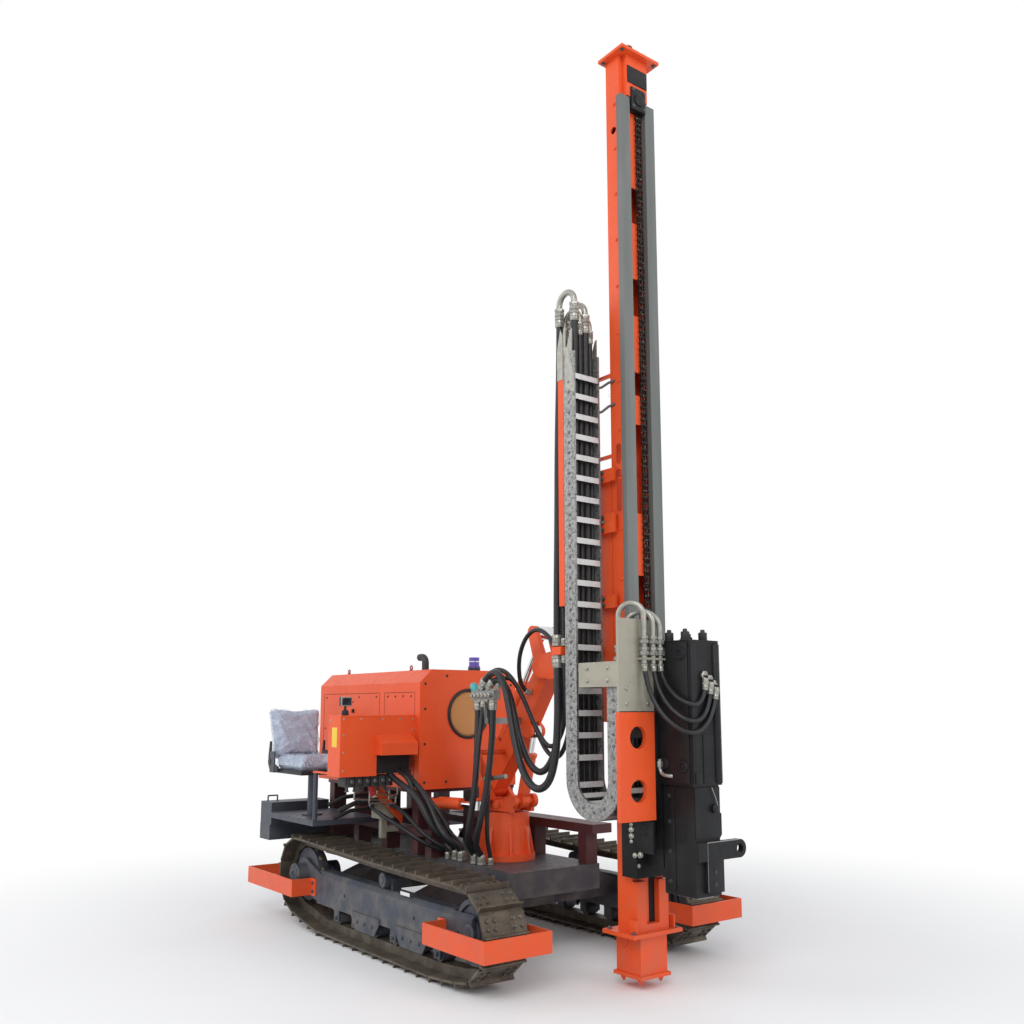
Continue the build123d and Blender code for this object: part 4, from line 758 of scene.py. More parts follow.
HOSES = (
    Hose("loop_hose_1", 0.046, TO_MAST, (
        (-338, -260, 1714), (-346, -330, 1800), (-360, -470, 1825), (-376, -570, 1735),
        (-388, -640, 1570), (-394, -700, 1380), (-402, -790, 1190), (-410, -930, 1085),
        (-410, -1060, 1130), (-408, -1125, 1290), (-402, -1140, 1520), (-395, -1130, 1740),
        (-388, -1118, 1897))),
    Hose("loop_hose_2", MAIN_HOSE, TO_MAST, (
        (-332, -330, 1716), (-330, -375, 1765), (-326, -460, 1770), (-326, -550, 1690),
        (-330, -615, 1540), (-336, -675, 1390), (-342, -770, 1250), (-346, -890, 1180),
        (-348, -1000, 1240), (-346, -1070, 1390), (-342, -1105, 1570), (-339, -1116, 1740),
        (-338, -1118, 1899))),
    Hose("box_hose_1", MAIN_HOSE, FIXED, (
        (-640, 520, 1257), (-638, 505, 1180), (-620, 440, 1110), (-590, 350, 1060),
        (-560, 255, 1010), (-535, 170, 930), (-510, 115, 830), (-465, 85, 745),
        (-395, 67, 695), (-320, 64, 640), (-320, 64, 561))),
    Hose("box_hose_2", MAIN_HOSE, FIXED, (
        (-540, 520, 1255), (-540, 500, 1190), (-528, 420, 1130), (-510, 330, 1080),
        (-495, 235, 1020), (-480, 155, 930), (-465, 90, 820), (-440, 22, 730),
        (-385, -10, 680), (-325, -14, 635), (-325, -14, 561))),
    Hose("drop_hose_1", MAIN_HOSE, TO_TURRET, (
        (-335, -215, 1637), (-340, -220, 1560), (-362, -245, 1400), (-378, -262, 1230),
        (-392, -262, 1060), (-404, -240, 900), (-408, -205, 770), (-382, -172, 680),
        (-320, -162, 625), (-320, -162, 561))),
    Hose("drop_hose_2", MAIN_HOSE, TO_TURRET, (
        (-335, -385, 1639), (-337, -388, 1560), (-348, -395, 1400), (-360, -388, 1230),
        (-376, -372, 1060), (-392, -345, 900), (-400, -305, 775), (-382, -258, 685),
        (-320, -240, 625), (-320, -240, 561))),
    Hose("loop_hose_3", MIDDLE_HOSE, TO_MAST, (
        (-320, -410, 1714), (-308, -445, 1785), (-275, -530, 1775), (-262, -640, 1620),
        (-272, -760, 1460), (-295, -900, 1345), (-322, -1030, 1360), (-348, -1145, 1500),
        (-366, -1163, 1720), (-370, -1163, 1898))),
    Hose("loop_hose_4", MIDDLE_HOSE, TO_MAST, (
        (-315, -215, 1714), (-302, -265, 1795), (-285, -360, 1850), (-270, -480, 1810),
        (-258, -600, 1670), (-256, -720, 1490), (-268, -860, 1310), (-282, -1000, 1270),
        (-298, -1110, 1400), (-318, -1166, 1620), (-332, -1168, 1898))),
    Hose("loop_hose_5", MIDDLE_HOSE, TO_MAST, (
        (-62, -445, 1690), (-105, -440, 1694), (-150, -430, 1765), (-185, -470, 1930),
        (-205, -580, 2060), (-225, -730, 2100), (-235, -880, 2020), (-250, -1000, 1840),
        (-275, -1080, 1640), (-300, -1150, 1600), (-345, -1172, 1720), (-350, -1172, 1898))),
    Hose("box_hose_3", MIDDLE_HOSE, FIXED, (
        (-595, 520, 1256), (-593, 505, 1200), (-578, 430, 1150), (-552, 335, 1108),
        (-535, 285, 1020), (-515, 235, 930), (-490, 185, 840), (-440, 150, 775),
        (-350, 118, 735), (-268, 90, 680), (-268, 82, 561))),
    Hose("box_hose_4", MIDDLE_HOSE, FIXED, (
        (-500, 510, 1256), (-500, 490, 1190), (-490, 400, 1110), (-478, 300, 1030),
        (-455, 200, 960), (-425, 120, 880), (-385, 85, 780), (-340, 40, 700), (-275, 30, 630),
        (-272, 30, 561))),
    Hose("valve_hose_1", MIDDLE_HOSE, FIXED, (
        (-540, 628, 900), (-540, 580, 900), (-535, 480, 885), (-520, 360, 830),
        (-490, 270, 750), (-440, 200, 690), (-385, 145, 650), (-345, 126, 620),
        (-345, 122, 561))),
    Hose("valve_hose_2", MIDDLE_HOSE, FIXED, (
        (-602, 690, 900), (-640, 685, 898), (-662, 630, 880), (-655, 520, 845),
        (-620, 400, 800), (-560, 280, 730), (-480, 205, 660), (-370, 165, 620),
        (-280, 152, 600), (-270, 150, 561))),
    Hose("drop_hose_3", MIDDLE_HOSE, TO_TURRET, (
        (-318, -240, 1637), (-316, -240, 1560), (-328, -228, 1400), (-342, -212, 1230),
        (-350, -200, 1060), (-358, -170, 900), (-350, -135, 770), (-320, -126, 680),
        (-280, -126, 620), (-280, -126, 561))),
    Hose("drop_hose_4", MIDDLE_HOSE, TO_TURRET, (
        (-352, -300, 1637), (-360, -300, 1560), (-395, -318, 1400), (-415, -322, 1230),
        (-428, -312, 1060), (-432, -280, 900), (-425, -245, 780), (-375, -212, 670),
        (-284, -200, 620), (-284, -200, 561))),
    Hose("drop_hose_5", MIDDLE_HOSE, TO_TURRET, (
        (-318, -330, 1637), (-314, -330, 1560), (-314, -340, 1400), (-322, -335, 1230),
        (-322, -320, 1060), (-322, -305, 900), (-318, -298, 780), (-300, -286, 690),
        (-275, -278, 620), (-275, -278, 561))),
    Hose("hammer_hose_1", THIN_HOSE, MOVING, (
        (-275, -1745, 1828), (-275, -1750, 1765), (-262, -1785, 1640), (-243, -1850, 1540),
        (-205, -1915, 1475), (-150, -1953, 1447), (-80, -1960, 1452), (0, -1958, 1505),
        (52, -1957, 1590), (71, -1957, 1672))),
    Hose("hammer_hose_2", THIN_HOSE, MOVING, (
        (-205, -1745, 1828), (-206, -1752, 1770), (-204, -1790, 1670), (-196, -1850, 1590),
        (-175, -1915, 1535), (-139, -1957, 1510), (-70, -1960, 1515), (-12, -1958, 1565),
        (18, -1957, 1636), (28, -1957, 1701))),
    Hose("hammer_hose_3", THIN_HOSE, MOVING, (
        (-150, -1745, 1828), (-152, -1754, 1780), (-160, -1795, 1715), (-166, -1850, 1665),
        (-163, -1905, 1628), (-141, -1955, 1603), (-84, -1960, 1600), (-38, -1958, 1640),
        (-18, -1957, 1690), (-14, -1957, 1723))),
)


@dataclass(frozen=True)
class MastHose:
    """A hose that rises behind the drag chain, turns over in a bent pipe and comes down inside it.

    The riser and the end of the run in the chain are in millimetres, the rest in metres.
    """

    name: str
    top: float
    end: int
    diameter: float
    riser: Sequence[tuple[int, int, int]]

    BEND = 0.072
    REAR_Y = -1262
    FRONT_Y = -1620
    TURN_TOP = 1356
    TURN_FOOT = 998

    def chain(self) -> list[tuple[int, int, int]]:
        """The run down in the chain, round its turn and up to the carriage's pipe.

        Returns:
            The route in millimetres.
        """
        x, _, top = self.riser[-1]
        legs = ((self.REAR_Y, top), (self.REAR_Y, self.TURN_TOP), (self.REAR_Y, self.TURN_FOOT),
                (self.FRONT_Y, self.TURN_FOOT), (self.FRONT_Y, self.TURN_TOP),
                (self.FRONT_Y, self.end))
        return [(x, y, z) for y, z in legs]

    def build(self) -> bpy.types.Object:
        """Make the riser, the bent pipe with its nuts, and the hose in the drag chain.

        Returns:
            The hose in the chain.
        """
        chain = self.chain()
        ends = ("mast_carrier", "mast")
        Hose(f"{self.name}_riser", self.diameter, ends, self.riser, "taut").build()
        made = Hose(f"{self.name}_chain", self.diameter, ("mast",), chain, "taut").build()
        foot, end = metres(self.riser[-1]), metres(chain[0])
        middle = (foot[0], (foot[1] + end[1]) / 2.0, self.top - self.BEND)
        bend = arc(middle, REAR, UP, self.BEND, 0.0, 180.0, 18)
        shape = Shape()
        shape.tube(np.concatenate(([foot], bend, [end])), self.diameter * 0.46, 18)
        for place in (foot, end):
            collar(shape, place, UP, self.diameter / 2.0)
        shape.build(f"{self.name}_bent_pipe", Look.ZINC, "mast")
        return made


MAST_HOSES = (
    MastHose("mast_hose_1", 4.185, 1719, MAIN_HOSE, (
        (-388, -1118, 1952), (-388, -1118, 2200), (-380, -1122, 2700), (-368, -1114, 3200),
        (-350, -1118, 3800), (-350, -1118, 4045))),
    MastHose("mast_hose_2", 4.120, 1719, MAIN_HOSE, (
        (-338, -1118, 1952), (-338, -1118, 2200), (-326, -1112, 2600), (-300, -1122, 3100),
        (-262, -1118, 3740), (-262, -1118, 3980))),
    MastHose("mast_hose_3", 4.075, 1700, MIDDLE_HOSE, (
        (-370, -1163, 1952), (-370, -1158, 2200), (-352, -1156, 2800), (-316, -1156, 3450),
        (-306, -1128, 3780), (-306, -1118, 3940))),
    MastHose("mast_hose_4", 4.035, 1700, MIDDLE_HOSE, (
        (-332, -1168, 1952), (-330, -1164, 2200), (-290, -1162, 2800), (-236, -1158, 3350),
        (-222, -1130, 3700), (-222, -1118, 3900))),
)


def collar(shape: Shape, at: Sequence[float], normal: Sequence[float], radius: float) -> None:
    """Add a pair of hexagon nuts with a ring between them, as on a pipe union.

    Args:
        shape: The shape that they are added to.
        at: Foot of the first nut.
        normal: Direction of the pipe.
        radius: The pipe's radius.
    """
    for rings, sides, spin in (([(1.35, 0.0), (1.55, 0.2), (1.55, 1.1), (1.35, 1.3)], 6, 0.0),
                               ([(1.3, 1.3), (1.3, 1.5), (1.2, 1.6)], 18, 0.0),
                               ([(1.3, 1.6), (1.48, 1.75), (1.48, 2.5), (1.25, 2.7)], 6, 0.4)):
        shape.stack([(r * radius, h * radius) for r, h in rings], sides, at, normal, spin)


@dataclass(frozen=True)
class CarriagePipe:
    """A bent pipe on the moving bracket, from the drag chain's hose to a hammer hose."""

    back_x: float
    front_x: float
    top: float
    foot: float

    BACK_Y = -1.620
    FRONT_Y = -1.745
    FRONT_FOOT = 1.830
    RADIUS = 0.016

    def add_to(self, shape: Shape) -> None:
        """Add the pipe and its unions.

        Args:
            shape: The shape that they are added to.
        """
        back, front = np.array((self.back_x, self.BACK_Y, 0.0)), np.array((self.front_x,
                                                                           self.FRONT_Y, 0.0))
        half = np.linalg.norm(front - back) / 2.0
        side = (back - front) / (2.0 * half)
        middle = (back + front) / 2.0 + np.array((0.0, 0.0, self.top - half))
        bend = arc(middle, side, UP, half, 0.0, 180.0, 20)
        foot, end = back + (0.0, 0.0, self.foot), front + (0.0, 0.0, self.FRONT_FOOT)
        shape.tube(np.concatenate(([foot], bend, [end])), self.RADIUS, 18)
        for place, low in ((back, max(self.foot, 1.78)), (front, self.FRONT_FOOT)):
            collar(shape, place + (0.0, 0.0, low + 0.045), UP, self.RADIUS * 1.1)
            collar(shape, place + (0.0, 0.0, low + 0.11), UP, self.RADIUS * 1.05)


class HoseWork:
    """All hoses and pipes, standing for the plain tubes of the frame."""

    def build(self) -> None:
        """Make each group and hide the plain tubes."""
        made = {hose.name: hose.build() for hose in (*HOSES, *MAST_HOSES)}
        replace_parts(made["loop_hose_1"], "loop_hoses")
        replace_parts(made["box_hose_1"], "valve_hoses")
        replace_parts(made["mast_hose_1"], "mast_hoses")
        shape = Shape()
        for pipe in (CarriagePipe(-0.350, -0.275, 2.172, 1.720),
                     CarriagePipe(-0.262, -0.205, 2.130, 1.720),
                     CarriagePipe(-0.306, -0.150, 2.128, 1.780)):
            pipe.add_to(shape)
        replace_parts(shape.build("carriage_bent_pipes", Look.ZINC, "carriage"), "carriage_pipes")


# Undercarriage


class Box:
    """A node's box by name, in metres."""

    def __init__(self, node: str) -> None:
        """Read the box of the named node."""
        low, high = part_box(node)
        self.x0, self.y0, self.z0 = low
        self.x1, self.y1, self.z1 = high
        self.cx, self.cy, self.cz = (low + high) / 2.0


@dataclass(frozen=True)
class Undercarriage:
    """Bolts and covers on the tracks, wheels and guards."""

    shoe_bolt: float = 0.0115
    bolt_along: float = 0.022
    bolt_across: tuple[float, ...] = (-0.115, -0.065, 0.065, 0.115)
    axle_z: float = 0.365
    cover_circle: float = 0.070
    teeth: int = 13
    teeth_x: float = 0.8
    teeth_circle: float = 0.186
    beam_x: float = 0.870
    plate_x: float = 0.880
    guard_x: float = 0.8803

    def shoe_plates(self, track: bpy.types.Object) -> list[Plate]:
        """Find each shoe's outer plate in the track's faces.

        Args:
            track: The track's object.

        Returns:
            Each plate's middle, normal and run.
        """
        mesh = track.data
        mesh.calc_loop_triangles()
        count = len(mesh.loop_triangles)
        corners = np.zeros(count * 3, np.int32)
        mesh.loop_triangles.foreach_get("vertices", corners)
        places = np.zeros(len(mesh.vertices) * 3, np.float32)
        mesh.vertices.foreach_get("co", places)
        tri = places.reshape(-1, 3)[corners.reshape(-1, 3)].astype(float)
        normal = np.cross(tri[:, 1] - tri[:, 0], tri[:, 2] - tri[:, 0])
        area = np.linalg.norm(normal, axis=1) / 2.0
        normal /= np.maximum(2.0 * area, 1e-12)[:, None]
        middle = tri.mean(1)
        found = {}
        low, high = tri[..., 0].min(), tri[..., 0].max()
        width = high - low
        for i in np.nonzero((np.abs(normal[:, 0]) < 0.01) & (area > width * 0.03))[0]:
            key = (*np.round(normal[i], 3), round(float(normal[i] @ middle[i]), 4))
            found.setdefault(key, []).append(i)
        centre = (tri.reshape(-1, 3).min(0) + tri.reshape(-1, 3).max(0)) / 2.0
        plates = []
        for rows in found.values():
            points = tri[rows].reshape(-1, 3)
            n = normal[rows[0]]
            run = np.cross(n, (1.0, 0.0, 0.0))
            reach = points @ run
            long = reach.max() - reach.min()
            if np.ptp(points[:, 0]) < width * 0.98 or not 0.09 < long < 0.128:
                continue
            spot = (points.min(0) + points.max(0)) / 2.0
            spot = spot + run * ((reach.max() + reach.min()) / 2.0 - spot @ run)
            if (spot - centre) @ n > 0.0:
                plates.append((spot, n, run))
        return plates

    def build(self, frame: dict) -> None:
        """Make all trims of both sides.
        """
        for name, sign in SIDES.items():
            shape = Shape()
            for spot, normal, run in self.shoe_plates(frame["nodes"][f"track_{name}"]):
                for across in self.bolt_across:
                    for along in (-self.bolt_along, self.bolt_along):
                        at = spot + np.array((across, 0.0, 0.0)) + run * along
                        shape.bolt(at, normal, self.shoe_bolt, across * 9.0)
            if shape.count:
                shape.build(f"shoe_bolts_{name}", Look.TRACK_BOLT)
            self.wheel_trim(name, sign)
            self.frame_trim(name, sign)
            self.guard_bolts(name, sign)

    def wheel_trim(self, name: str, sign: float) -> None:
        """The motor cover, the idler's hub cap and the rollers' end caps.

        Args:
            name: The side's name.
            sign: The side's sign along X.
        """
        side = (sign, 0.0, 0.0)
        drum, idler, roller = (Box(f"{kind}_{name}") for kind in ("sprocket", "idler", "rollers"))
        outer = drum.x0 if sign < 0 else drum.x1
        shape = Shape()
        cover = [(0.083, -0.012), (0.083, 0.0), (0.078, 0.004), (0.062, 0.004), (0.060, 0.009),
                 (0.030, 0.009), (0.026, 0.003)]
        axle = (0.0, drum.cy, self.axle_z)
        shape.stack(cover, 40, (outer, drum.cy, self.axle_z), side)
        for at in arc(axle, REAR, UP, self.cover_circle, 0.0, 315.0, 8):
            shape.bolt((outer + 0.003 * sign, *at[1:]), side, 0.006)
        hub = idler.x0 if sign < 0 else idler.x1
        cap = [(0.050, -0.004), (0.050, 0.004), (0.044, 0.008), (0.024, 0.008), (0.022, 0.014),
               (0.010, 0.014)]
        shape.stack(cap, 32, (hub, idler.cy, idler.cz), side)
        ring = [(0.040, -0.002), (0.040, 0.003), (0.030, 0.003), (0.029, 0.001), (0.022, 0.001),
                (0.020, 0.006), (0.008, 0.006)]
        shape.stack(ring, 28, (roller.x0 if sign < 0 else roller.x1, 0.1, 0.475), side)
        shape.build(f"wheel_caps_{name}", Look.GREY)
        teeth = Shape()
        last = 360.0 * (1.0 - 1.0 / self.teeth)
        for at in arc(axle, REAR, UP, self.teeth_circle, 0.0, last, self.teeth):
            foot = (sign * self.teeth_x, *at[1:])
            teeth.stack([(0.026, 0.0), (0.020, 0.012), (0.010, 0.018)], 12, foot,
                        at - np.array(axle))
        teeth.build(f"drive_teeth_{name}", Look.TRACK)

    def frame_trim(self, name: str, sign: float) -> None:
        """The beam's lug holes, near-black discs of painted shade in grey rims, blank plate and
        guard plate bolts.

        Args:
            name: The side's name.
            sign: The side's sign along X.
        """
        side = (sign, 0.0, 0.0)
        face = sign * self.beam_x
        dark, shape = Shape(), Shape()
        # Each lug hole is a near-black disc of painted shade inside a grey rim.
        for y in (-0.79, -0.30, 0.62):
            dark.stack([(0.011, -0.002), (0.011, 0.0012), (0.010, 0.0014)], 20, (face, y, 0.300),
                       side)
            shape.stack([(0.016, -0.002), (0.016, 0.0010), (0.0125, 0.0012)], 24, (face, y, 0.300),
                        side)
        dark.build(f"beam_hole_shade_{name}", Look.DARK)
        for y0, y1 in ((-0.47, -0.09), (0.12, 0.50)):
            places = np.linspace(y0 + 0.09, y1 - 0.09, 3)
            shape.bolts(sign * self.plate_x, places, 0.165, side, 0.010)
        shape.bolts(face, np.linspace(-0.560, 0.740, 6), 0.1373, side, 0.011)
        shape.build(f"beam_trim_{name}", Look.GREY)
        if sign < 0:
            plate = Shape()
            plate.slab((face - 0.0016, -0.245, 0.418), (face + 0.0005, -0.135, 0.440), 0.001)
            plate.build("blank_plate_beam", Look.LABEL_WHITE)

    def guard_bolts(self, name: str, sign: float) -> None:
        """Two bolts in each guard's flange.

        Args:
            name: The side's name.
            sign: The side's sign along X.
        """
        shape = Shape()
        side = (sign, 0.0, 0.0)
        shape.bolts(sign * self.guard_x, (-0.625, 1.095), (0.265, 0.325), side, 0.011)
        shape.build(f"guard_bolts_{name}", Look.GREY)


# Drag chain


@dataclass(frozen=True)
class DragChain:
    """Bars, link pins and guide plates of the drag chain."""

    x0: float = -0.386
    x1: float = -0.204
    outer_x: float = -0.400
    rear_y: float = -1.310
    front_y: float = -1.570
    middle_y: float = -1.440
    bend_z: float = 1.180
    bend_in: float = 0.130
    bar_tall: float = 0.034
    bar_thick: float = 0.012
    step: float = 0.128

    def bar(self, shape: Shape, y: float, z: float, turn: float) -> None:
        """Add one bar.

        Args:
            shape: The shape that it is added to.
            y: The bar's place.
            z: The bar's height.
            turn: Angle of its inward side about the X axis, in radians.
        """
        out = np.array((math.cos(turn), math.sin(turn)))
        along = np.array((-math.sin(turn), math.cos(turn)))
        middle = np.array((y, z))
        half, thick = self.bar_tall / 2.0, self.bar_thick
        corners = [middle + along * half, middle - along * half,
                   middle - along * half * 0.8 + out * thick,
                   middle + along * half * 0.8 + out * thick]
        outline = [tuple(c) for c in corners[::-1]]
        shape.prism(outline, (self.x0, 0.0, 0.0), LEFT, self.x1 - self.x0)

    def build(self) -> None:
        """Make the bars and the pins."""
        bars, pins = Shape(), Shape()
        for z in np.arange(3.602, 1.25, -self.step):
            self.bar(bars, self.rear_y, float(z), 0.0)
            for height in (0.032, 0.096):
                pins.rivet((self.outer_x, self.rear_y + 0.05, float(z) - height), RIGHT, 0.010)
                pins.rivet((self.outer_x, self.rear_y + 0.025, float(z) - height - 0.03), RIGHT,
                           0.005)
        for z in np.arange(1.660, 1.25, -self.step):
            self.bar(bars, self.front_y, float(z), math.pi)
            for height in (0.032, 0.096):
                pins.rivet((self.outer_x, self.front_y - 0.05, float(z) - height), RIGHT, 0.010)
        for degrees in (196.0, 226.0, 255.0, 285.0, 314.0, 344.0):
            turn = math.radians(degrees)
            place = (self.middle_y + self.bend_in * math.cos(turn),
                     self.bend_z + self.bend_in * math.sin(turn))
            self.bar(bars, *place, turn)
            far = self.bend_in + 0.05
            at = (self.outer_x, self.middle_y + far * math.cos(turn + 0.2),
                  self.bend_z + far * math.sin(turn + 0.2))
            pins.rivet(at, RIGHT, 0.010)
        bars.build("drag_chain_bars", Look.BAR, "mast", 25.0)
        pins.build("drag_chain_pins", Look.CHAIN_PIN, "mast")
        guides = Shape()
        for y, z0, z1 in ((-1.232, 3.76, 3.93), (-1.290, 3.76, 3.90)):
            guides.prism([(y, z0), (y + 0.055, z0), (y + 0.012, z1), (y, z1 + 0.01)],
                         (-0.401, 0.0, 0.0), LEFT, 0.008)
            guides.prism([(y, z0), (y + 0.055, z0), (y + 0.012, z1 - 0.03), (y, z1 - 0.02)],
                         (-0.197, 0.0, 0.0), LEFT, 0.008)
        guides.prism([(-1.2105, 3.60), (-1.157, 3.60), (-1.157, 3.80), (-1.190, 3.93),
                      (-1.2105, 3.88)], (-0.4045, 0.0, 0.0), LEFT, 0.0024)
        guides.prism([(-1.232, 3.55), (-1.300, 3.50), (-1.312, 3.50), (-1.312, 3.60),
                      (-1.262, 3.80), (-1.232, 3.80)], (-0.4025, 0.0, 0.0), LEFT, 0.0024)
        guides.build("hose_guide_plates", Look.ZINC, "mast")


@dataclass(frozen=True)
class FeedChain:
    """The duplex roller chain that pulls the carriage."""

    x: float = 0.030
    y: float = -1.4725
    z0: float = 0.640
    z1: float = 5.488
    pitch: float = 0.0381
    strands: tuple[float, float] = (-0.0115, 0.0115)

    def build(self) -> None:
        """Make rollers, pins and link plates, every second pair set inside its neighbours."""
        shape = Shape()
        count = int((self.z1 - self.z0) / self.pitch)
        turn = np.radians(np.arange(0.0, 360.0, 60.0) + 30.0)
        outline = [(0.0105 * math.cos(t),
                    0.0105 * math.sin(t) + (self.pitch if t < math.pi else 0.0)) for t in turn]
        waist = [outline[0], outline[1], outline[2], (-0.006, self.pitch / 2.0), outline[3],
                 outline[4], outline[5], (0.006, self.pitch / 2.0)]
        for k in range(count):
            z = self.z0 + 0.014 + k * self.pitch
            plates = [(self.y + a, z + b) for a, b in waist]
            for strand in self.strands:
                shape.stack([(0.0085, 0.0), (0.0085, 0.013)], 8,
                            (self.x + strand - 0.0065, self.y, z), LEFT)
                for side in (-1.0, 1.0):
                    gap = 0.0075 if k % 2 else 0.0098
                    shape.prism(plates, (self.x + strand + side * gap - 0.001, 0.0, 0.0), LEFT,
                                0.0022)
        chain = shape.build("feed_chain_links", Look.FEED_CHAIN, "mast", 25.0)
        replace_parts(chain, "feed_chain")
        pins = Shape()
        for k in range(count):
            z = self.z0 + 0.014 + k * self.pitch
            pins.stack([(0.0042, -0.0245), (0.0042, 0.0245)], 6, (self.x, self.y, z), LEFT)
        pins.build("feed_chain_pins", Look.TRACK_BOLT, "mast")


# Hood and controls


@dataclass(frozen=True)
class Hood:
    """Seams, screws, the latch, lifting eyes and the fan ring."""

    side_x: float = -0.4300
    front_y: float = 0.3800
    rear_y: float = 1.975
    seam: float = 0.0045
    proud: float = 0.0012
    panel_z: tuple[float, float] = (1.105, 1.700)
    fan: tuple[float, float] = (-0.010, 1.545)
    fan_radius: float = 0.165

    def build(self) -> None:
        """Make the trims of the right side, the front, the roof and the door."""
        seams, screws, black = Shape(), Shape(), Shape()
        for y0, y1 in ((0.450, 0.891), (0.968, 1.905)):
            self.panel(seams, self.side_x, y0, y1)
            screws.rivets(self.side_x, np.linspace(y0 + 0.05, y1 - 0.05, 4), (1.140, 1.672), RIGHT,
                          0.0085)
            screws.rivets(self.side_x, (y0 + 0.03, y1 - 0.03), 1.42, RIGHT, 0.0085)
        self.panel(seams, -self.side_x, 0.450, 0.900)
        for y, normal in ((self.front_y, FRONT), (self.rear_y, REAR)):
            screws.rivets((-0.385, 0.385), y, (1.06, 1.33, 1.58, 1.76), normal, 0.010)
        screws.rivets((-0.20, 0.20), self.front_y, (1.06, 1.82), FRONT, 0.010)
        seams.build("hood_seams", Look.SEAM)
        screws.build("hood_screws", Look.PLASTIC)
        black.slab((self.side_x - 0.012, 1.372, 1.550), (self.side_x + 0.002, 1.398, 1.580))
        black.slab((self.side_x - 0.0015, 1.388, 1.632), (self.side_x + 0.001, 1.526, 1.640),
                   0.0008)
        black.build("hood_latch", Look.DARK)
        ring = Shape()
        place = (self.fan[0], self.front_y - 0.004, self.fan[1])
        ring.tube(arc(place, LEFT, UP, self.fan_radius + 0.008, 0.0, 360.0, 49), 0.011, 10)
        ring.build("fan_ring", Look.PLASTIC)
        mesh = Shape()
        for radius in (0.045, 0.085, 0.125):
            where = (self.fan[0], self.front_y + 0.006, self.fan[1])
            mesh.tube(arc(where, LEFT, UP, radius, 0.0, 360.0, 41), 0.0022, 6)
        for turn in np.radians(np.arange(0.0, 180.0, 30.0)):
            reach = np.array((math.cos(turn), 0.0, math.sin(turn))) * self.fan_radius
            middle = np.array((self.fan[0], self.front_y + 0.010, self.fan[1]))
            mesh.tube(np.array((middle - reach, middle + reach)), 0.0020, 6)
        mesh.build("fan_wires", Look.TAN)
        eyes = Shape()
        for y in (0.72, 1.72):
            eyes.stack([(0.016, -0.002), (0.016, 0.004), (0.010, 0.010)], 16, (-0.300, y, 1.865))
            eyes.tube(arc((-0.300, y, 1.888), REAR, UP, 0.014, 0.0, 360.0, 25), 0.005, 10)
        eyes.build("lifting_eyes", Look.EYE_RED)
        lamp = Shape()
        lamp.stack([(0.047, -0.002), (0.047, 0.022), (0.043, 0.028), (0.0405, 0.030)], 32,
                   (0.090, 0.450, 1.866))
        lamp.build("beacon_base", Look.PLASTIC)
        band = Shape()
        band.stack([(0.0412, 0.0), (0.0412, 0.008)], 32, (0.090, 0.450, 1.930))
        band.build("beacon_band", Look.CHROME)
        door = Shape()
        for z in (1.16, 1.62):
            door.stack([(0.009, -0.035), (0.009, 0.035), (0.006, 0.038)], 14, (0.440, 0.962, z))
        door.slab((0.4295, 1.80, 1.36), (0.448, 1.83, 1.46), 0.005)
        door.build("door_handle", Look.PLASTIC, "door")

    def panel(self, seams: Shape, side_x: float, y0: float, y1: float) -> None:
        """Add the seams round one panel.

        Args:
            seams: The shape that they are added to.
            side_x: Place of the hood's side.
            y0: The panel's front end.
            y1: The panel's rear end.
        """
        x0, x1, half = side_x - self.proud, side_x + self.proud, self.seam / 2.0
        for z in self.panel_z:
            seams.slab((x0, y0, z - half), (x1, y1, z + half))
        for y in (y0, y1):
            seams.slab((x0, y - half, self.panel_z[0]), (x1, y + half, self.panel_z[1]))


